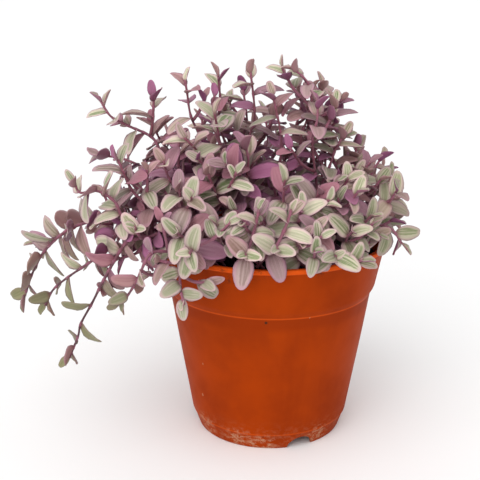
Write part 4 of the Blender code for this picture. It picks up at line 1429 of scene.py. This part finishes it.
def pot_material(look, specks):
    """Moulded orange plastic: mottled, faintly ribbed by its mould, scuffed at the foot, with dirt specks and
    darker patches along the rim. It has a painted highlight on the lip, painted highlight lines at the step
    and the foot, and painted shade under the step.
    """
    sheet = MaterialSheet("orange_plastic", Specular_IOR_Level=0.03)
    ramp, fall, times = sheet.ramp, sheet.fall, sheet.times
    most, noise = sheet.most, sheet.noise
    place = sheet.object_place()
    height = sheet.split(place)[2]
    grime = sheet.group(specks, Place=place, Scale=240.0, Share=0.018)["Specks"]
    pale = sheet.group(specks, Place=sheet.stretch(place, (1, 1, 0.7)), Scale=330.0, Share=0.012)["Specks"]
    mottle = noise(place, 28.0, 4.0, 0.6)
    flow = noise(sheet.stretch(place, (60, 60, 6)), 1.0, 3.0, 0.6)
    rubbed = noise(sheet.stretch(place, (1, 1, 1.6)), 260.0, 6.0, 0.8)
    fine = noise(place, 900.0, 2.0, 0.5)

    shaded = times(ramp(height, *STEP_SHADE), fall(height, *STEP_EDGE, 0.8))
    # Painted highlight lines along the step and at the top of the foot ring
    edge_highlights = [(fall(sheet.off(height, z), *HIGHLIGHT_WIDTH, share), look.highlight_colour) for z, share in EDGE_HIGHLIGHTS]
    low = times(fall(height, *SCUFF_HEIGHT), sheet.math("ADD", 0.3, sheet.spots(place, SCUFFED)))
    scuff = times(ramp(rubbed, 0.46, 0.62), low, look.scuffs)
    # Darker patches along the front of the rim
    rim_dark_patches = times(sheet.spots(place, RIM_DARK_PATCHES), ramp(rubbed, 0.5, 0.62, 0.75))
    colour = sheet.coats(
        look.colour,
        (ramp(mottle, 0.35, 0.7), look.dark_colour),
        (ramp(flow, 0.45, 0.75, 0.35), look.light_colour),
        # Painted highlight along the lip
        (ramp(height, *LIP_HIGHLIGHT, 0.6), look.highlight_colour),
        (shaded, look.dark_colour),
        *edge_highlights,
        (scuff, look.scuff_colour),
        (most(sheet.spots(place, DIRT), times(grime, 0.7), rim_dark_patches), DARK_SPOT_COLOUR),
        (most(times(pale, 0.6), sheet.spots(place, PALE_SPECKS)), look.scuff_colour),
    )
    rough = ramp(mottle, 0.3, 0.7, look.roughness + 0.1, start=look.roughness - 0.06)
    sheet.put(sheet.shader.inputs["Roughness"], most(rough, times(scuff, 0.85)))
    return sheet.finished(colour, sheet.math("ADD", flow, times(fine, 0.3)), 0.12, 0.0006)


def soil_material(look, specks):
    """Nearly black, crumbly soil with a few brown fibres."""
    sheet = MaterialSheet("potting_soil", Roughness=0.95, Specular_IOR_Level=0.2)
    place = sheet.object_place()
    crumb = sheet.noise(place, 420.0, 6.0, 0.7)
    bits = sheet.group(specks, Place=place, Scale=700.0, Share=0.12)["Specks"]
    dry = sheet.ramp(crumb, 0.35, 0.75)
    colour = sheet.coats(look.dark_colour, (dry, look.colour), (sheet.times(bits, 0.6), look.fibre))
    return sheet.finished(colour, crumb, 0.9, 0.0012)


def crumb_material(name, dark, light):
    """Crumbs of one stuff, from dark to light by each one's tone."""
    sheet = MaterialSheet(name, Roughness=0.9, Specular_IOR_Level=0.25)
    tone = sheet.split(sheet.attribute("marks", "Vector"))[0]
    grain = sheet.noise(sheet.object_place(), 1400.0, 4.0, 0.7)
    share = sheet.math("MULTIPLY_ADD", grain, 0.5, sheet.times(tone, 0.6))
    return sheet.finished(sheet.mix(share, dark, light), grain, 0.6, 0.0005)


# Settings


def colour_property(name, description, value):
    return FloatVectorProperty(
        name=name, description=description, subtype="COLOR", size=3, min=0, max=1, default=value
    )


def number(name, description, value, low, high, kind=FloatProperty, **more):
    return kind(name=name, description=description, default=value, min=low, max=high, **more)


class PotLook(bpy.types.PropertyGroup):
    colour: colour_property("Plastic", "The pot's plastic", (0.34, 0.038, 0.0012))
    # This colour also paints the shade under the step
    dark_colour: colour_property("Dark plastic", "The plastic where it is duller", (0.26, 0.028, 0.002))
    light_colour: colour_property("Light plastic", "The plastic along its flow lines", (0.40, 0.047, 0.002))
    # This colour paints the highlight on the lip and the highlight lines at the step and the foot
    highlight_colour: colour_property("Lip", "The thin lip, where light comes through", (0.90, 0.12, 0.012))
    scuff_colour: colour_property("Scuffs", "Scuffs and dust on the plastic", (0.46, 0.24, 0.14))
    scuffs: number("Scuffing", "How much the foot is scuffed", 0.8, 0, 1, subtype="FACTOR")
    roughness: number("Roughness", "How matt the plastic is", 0.5, 0.1, 0.9, subtype="FACTOR")


class SoilLook(bpy.types.PropertyGroup):
    colour: colour_property("Soil", "Drier crumbs", (0.030, 0.021, 0.016))
    dark_colour: colour_property("Damp soil", "Damp soil between the crumbs", (0.006, 0.005, 0.005))
    fibre: colour_property("Fibres", "Fibres in the soil", (0.10, 0.055, 0.03))
    dark_peat: colour_property("Dark peat", "The darkest crumbs of peat and bark", (0.012, 0.008, 0.006))
    light_peat: colour_property("Light peat", "The lightest crumbs of peat and bark", (0.10, 0.05, 0.026))
    dark_perlite: colour_property("Dusty perlite", "The darkest grains", (0.42, 0.40, 0.36))
    light_perlite: colour_property("White perlite", "The lightest grains", (0.85, 0.84, 0.80))
    crumbs: number("Crumbs", "Number of loose crumbs of peat and bark", 420, 0, 2000, IntProperty)
    perlite: number("Perlite", "Number of white grains", 46, 0, 400, IntProperty)


class PlantLook(bpy.types.PropertyGroup):
    cream: colour_property("Cream", "The upper side between its stripes", (0.565, 0.53, 0.39))
    green: colour_property("Green", "The stripes", (0.14, 0.21, 0.065))
    edge: colour_property("Edge", "The pink-white edge", (0.63, 0.42, 0.44))
    # This colour is laid on leaves partly as their own flush and partly as painted shade deep in the mound
    mauve: colour_property("Mauve", "The flush on shaded leaves", (0.32, 0.096, 0.155))
    vivid_mauve: colour_property("Vivid mauve", "The flush on the most coloured leaves", (0.4, 0.1, 0.255))
    underside: colour_property("Underside", "The underside of a young leaf", (0.31, 0.09, 0.21))
    dull_underside: colour_property("Old underside", "The underside of an old leaf", (0.375, 0.235, 0.2))
    # This colour also paints the right side of the mound darker: partly its leaves' own olive, partly painted
    # shade
    olive: colour_property("Olive", "The leaves of the ends that hang", (0.185, 0.175, 0.075))
    stem: colour_property("Stem", "The stems", (0.19, 0.052, 0.073))
    old_stem: colour_property("Old stem", "The stems that hang", (0.055, 0.018, 0.026))
    # This colour paints the stems' streaks and the painted fill light on the low stems inside the mound
    streak_and_fill_light: colour_property("Light stem", "Streaks on the stems", (0.36, 0.15, 0.22))
    hair: colour_property("Hairs", "The fine hairs at the sheaths", (0.62, 0.50, 0.50))
    thickness: number("Leaf thickness", "At the middle of a blade", 0.0009, 0.0006, 0.002, unit="LENGTH")


class StageLook(bpy.types.PropertyGroup):
    floor: colour_property("Floor", "The floor", (0.90, 0.90, 0.90))
    sky: number("Overhead light", "Strength of the wide light from above", 1.5, 0, 20)
    key: number("Main light", "Power of the light in front", 3.0, 0, 1000, unit="POWER")
    surround: number("Surround", "Brightness of the white surround", 0.78, 0, 3)


# Operators


def finish_piece(piece, slot, *nodes):
    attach(piece, BODY)
    if nodes:
        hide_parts(*nodes)


class PLANT_OT_pot(bpy.types.Operator):
    """Makes the nursery pot, with its lip, its notches and its drain holes"""

    bl_idname = "plant.pot"
    bl_label = "Pot"

    def execute(self, context):
        finish = pot_material(context.scene.pot_look, shared_group("surface_specks", specks_group))
        profile = rounded(pot_profile(), POT_CORNERS)
        pot = mesh_piece("nursery_pot", [turned_skin(profile, POT_SKIN_SIDES, uneven_wall)], [finish])
        for skin in (*map(notch_skin, NOTCH_AZIMUTHS), *map(drain_skin, DRAIN_AZIMUTHS)):
            take_out(pot, skin)
        pot.data.set_sharp_from_angle(angle=SHARP_ANGLE)
        finish_piece(pot, "pot_plastic", "pot")
        return {"FINISHED"}


class PLANT_OT_soil(bpy.types.Operator):
    """Makes the soil, its loose crumbs and its grains of perlite"""

    bl_idname = "plant.soil"
    bl_label = "Soil"

    def execute(self, context):
        look = context.scene.soil_look
        plain = np.array(soil_profile())
        rings = np.linspace(plain[-4, 0], 0, SOIL_RINGS)
        top = np.stack((rings, np.full_like(rings, SOIL_Z - SOIL_DROP)), axis=1)
        profile = np.vstack((plain[:-4], top))
        finish = soil_material(look, shared_group("surface_specks", specks_group))
        soil = mesh_piece("soil_bed", [turned_skin(profile, SOIL_SKIN_SIDES, cloddy)], [finish])
        finish_piece(soil, "potting_soil", "soil")
        peat = crumb_material("peat_and_bark", look.dark_peat, look.light_peat)
        stone = crumb_material("perlite_grains", look.dark_perlite, look.light_perlite)
        peat_skin = crumb_skins(look.crumbs, *PEAT, SEED + 4)
        stone_skin = crumb_skins(look.perlite, *PERLITE, SEED + 5)
        finish_piece(mesh_piece("peat_crumbs", [peat_skin], [peat], smooth=False), "potting_soil")
        finish_piece(mesh_piece("perlite_crumbs", [stone_skin], [stone]), "potting_soil")
        return {"FINISHED"}


class PLANT_OT_vines(bpy.types.Operator):
    """Grows the leafy stems, one piece for each stem that stands in the soil"""

    bl_idname = "plant.vines"
    bl_label = "Leafy stems"

    def execute(self, context):
        look = context.scene.plant_look
        streaks = shared_group("plant_streaks", streaks_group)
        finishes = [leaf_material(look, streaks), stem_material(look, streaks), hair_material(look)]
        shoots = grow_shoots()
        shoots = fill_in(shoots, grow_leaves(shoots))
        tint(shoots)
        draw = np.random.default_rng(SEED + 6)
        for root in [s for s in shoots if s.rooted]:
            own = [s for s in shoots if s.node == root.node]
            node = f"leafy_stem_{root.node}"
            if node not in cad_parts:
                raise RuntimeError(f"the packed model has no stem named {node}")
            skins = [stem_skin(s, draw.uniform()) for s in own]
            skins.append(leaf_skins([leaf for s in own for leaf in s.leaves], look.thickness / MM))
            skins.append(hair_skins(own, draw))
            finish_piece(mesh_piece(f"vine_{root.node}", skins, finishes), "foliage", node)
        return {"FINISHED"}


FLOOR_REACH = 60
OVERHEAD_FROM = (-0.25, -0.6, 0.85)
OVERHEAD_SPREAD = math.radians(60)
MAIN_FROM = (-0.5, -1.1, 0.6)
MAIN_SIZE = 0.8
LIT_PLACE = (-0.02, 0.0, 0.1)
CAMERA_PLACE = (-0.01644, -0.5023, 0.2544)
CAMERA_PITCH = 0.290
CAMERA_LENS = 72.4
CAMERA_SENSOR = 36
CAMERA_NEAR = 0.01


class PLANT_OT_stage(bpy.types.Operator):
    """Sets up the pale floor, the soft lights and the camera at the photograph's view"""

    bl_idname = "plant.stage"
    bl_label = "Stage"

    def execute(self, context):
        look = context.scene.stage_look
        self.floor(look)
        self.light("overhead_light", "SUN", look.sky, OVERHEAD_FROM).angle = OVERHEAD_SPREAD
        self.light("main_light", "AREA", look.key, MAIN_FROM).size = MAIN_SIZE
        self.surround(context, look)
        self.camera(context)
        context.scene.view_settings.view_transform = "Standard"
        return {"FINISHED"}

    def floor(self, look):
        floor_mesh = bpy.data.meshes.new("floor")
        corners = [(x * FLOOR_REACH, y * FLOOR_REACH, 0) for x, y in ((-1, -1), (1, -1), (1, 1), (-1, 1))]
        floor_mesh.from_pydata(corners, [], [(0, 1, 2, 3)])
        floor_mesh.materials.append(MaterialSheet("floor", Base_Color=look.floor, Roughness=0.8).material)
        new_object("floor", floor_mesh)

    def light(self, name, kind, power, place):
        data = bpy.data.lights.new(name, kind)
        data.energy = power
        lamp = new_object(name, data)
        lamp.location = place
        lamp.rotation_euler = (Vector(LIT_PLACE) - Vector(place)).to_track_quat("-Z", "Y").to_euler()
        return data

    def surround(self, context, look):
        world = bpy.data.worlds.new("white_surround")
        world.use_nodes = True
        background = world.node_tree.nodes["Background"]
        background.inputs["Color"].default_value = (1, 1, 1, 1)
        background.inputs["Strength"].default_value = look.surround
        context.scene.world = world

    def camera(self, context):
        data = bpy.data.cameras.new("photo_camera")
        data.lens = CAMERA_LENS
        data.sensor_width = CAMERA_SENSOR
        data.clip_start = CAMERA_NEAR
        camera = new_object("photo_camera", data)
        camera.location = CAMERA_PLACE
        camera.rotation_euler = (math.pi / 2 - CAMERA_PITCH, 0, 0)
        context.scene.camera = camera


OPERATORS = (PLANT_OT_pot, PLANT_OT_soil, PLANT_OT_vines, PLANT_OT_stage)
LOOKS = {"pot_look": PotLook, "soil_look": SoilLook, "plant_look": PlantLook, "stage_look": StageLook}


class PLANT_PT_panel(bpy.types.Panel):
    """Lists the pieces and their settings"""

    bl_idname = "PLANT_PT_panel"
    bl_label = "Potted turtle vine"
    bl_space_type = "VIEW_3D"
    bl_region_type = "UI"
    bl_category = "Plant"

    def draw(self, context):
        for operator, look in zip(OPERATORS, LOOKS):
            box = self.layout.box()
            settings = getattr(context.scene, look)
            for name in settings.__annotations__:
                box.prop(settings, name)
            box.operator(operator.bl_idname)


CLASSES = (*LOOKS.values(), *OPERATORS, PLANT_PT_panel)


def register():
    for cls in CLASSES:
        bpy.utils.register_class(cls)
    for name, look in LOOKS.items():
        setattr(bpy.types.Scene, name, PointerProperty(type=look))


def unregister():
    for name in LOOKS:
        delattr(bpy.types.Scene, name)
    for cls in reversed(CLASSES):
        bpy.utils.unregister_class(cls)


def main():
    register()
    bpy.ops.plant.pot()
    bpy.ops.plant.soil()
    bpy.ops.plant.vines()
    bpy.ops.plant.stage()


if __name__ == "__main__":
    main()
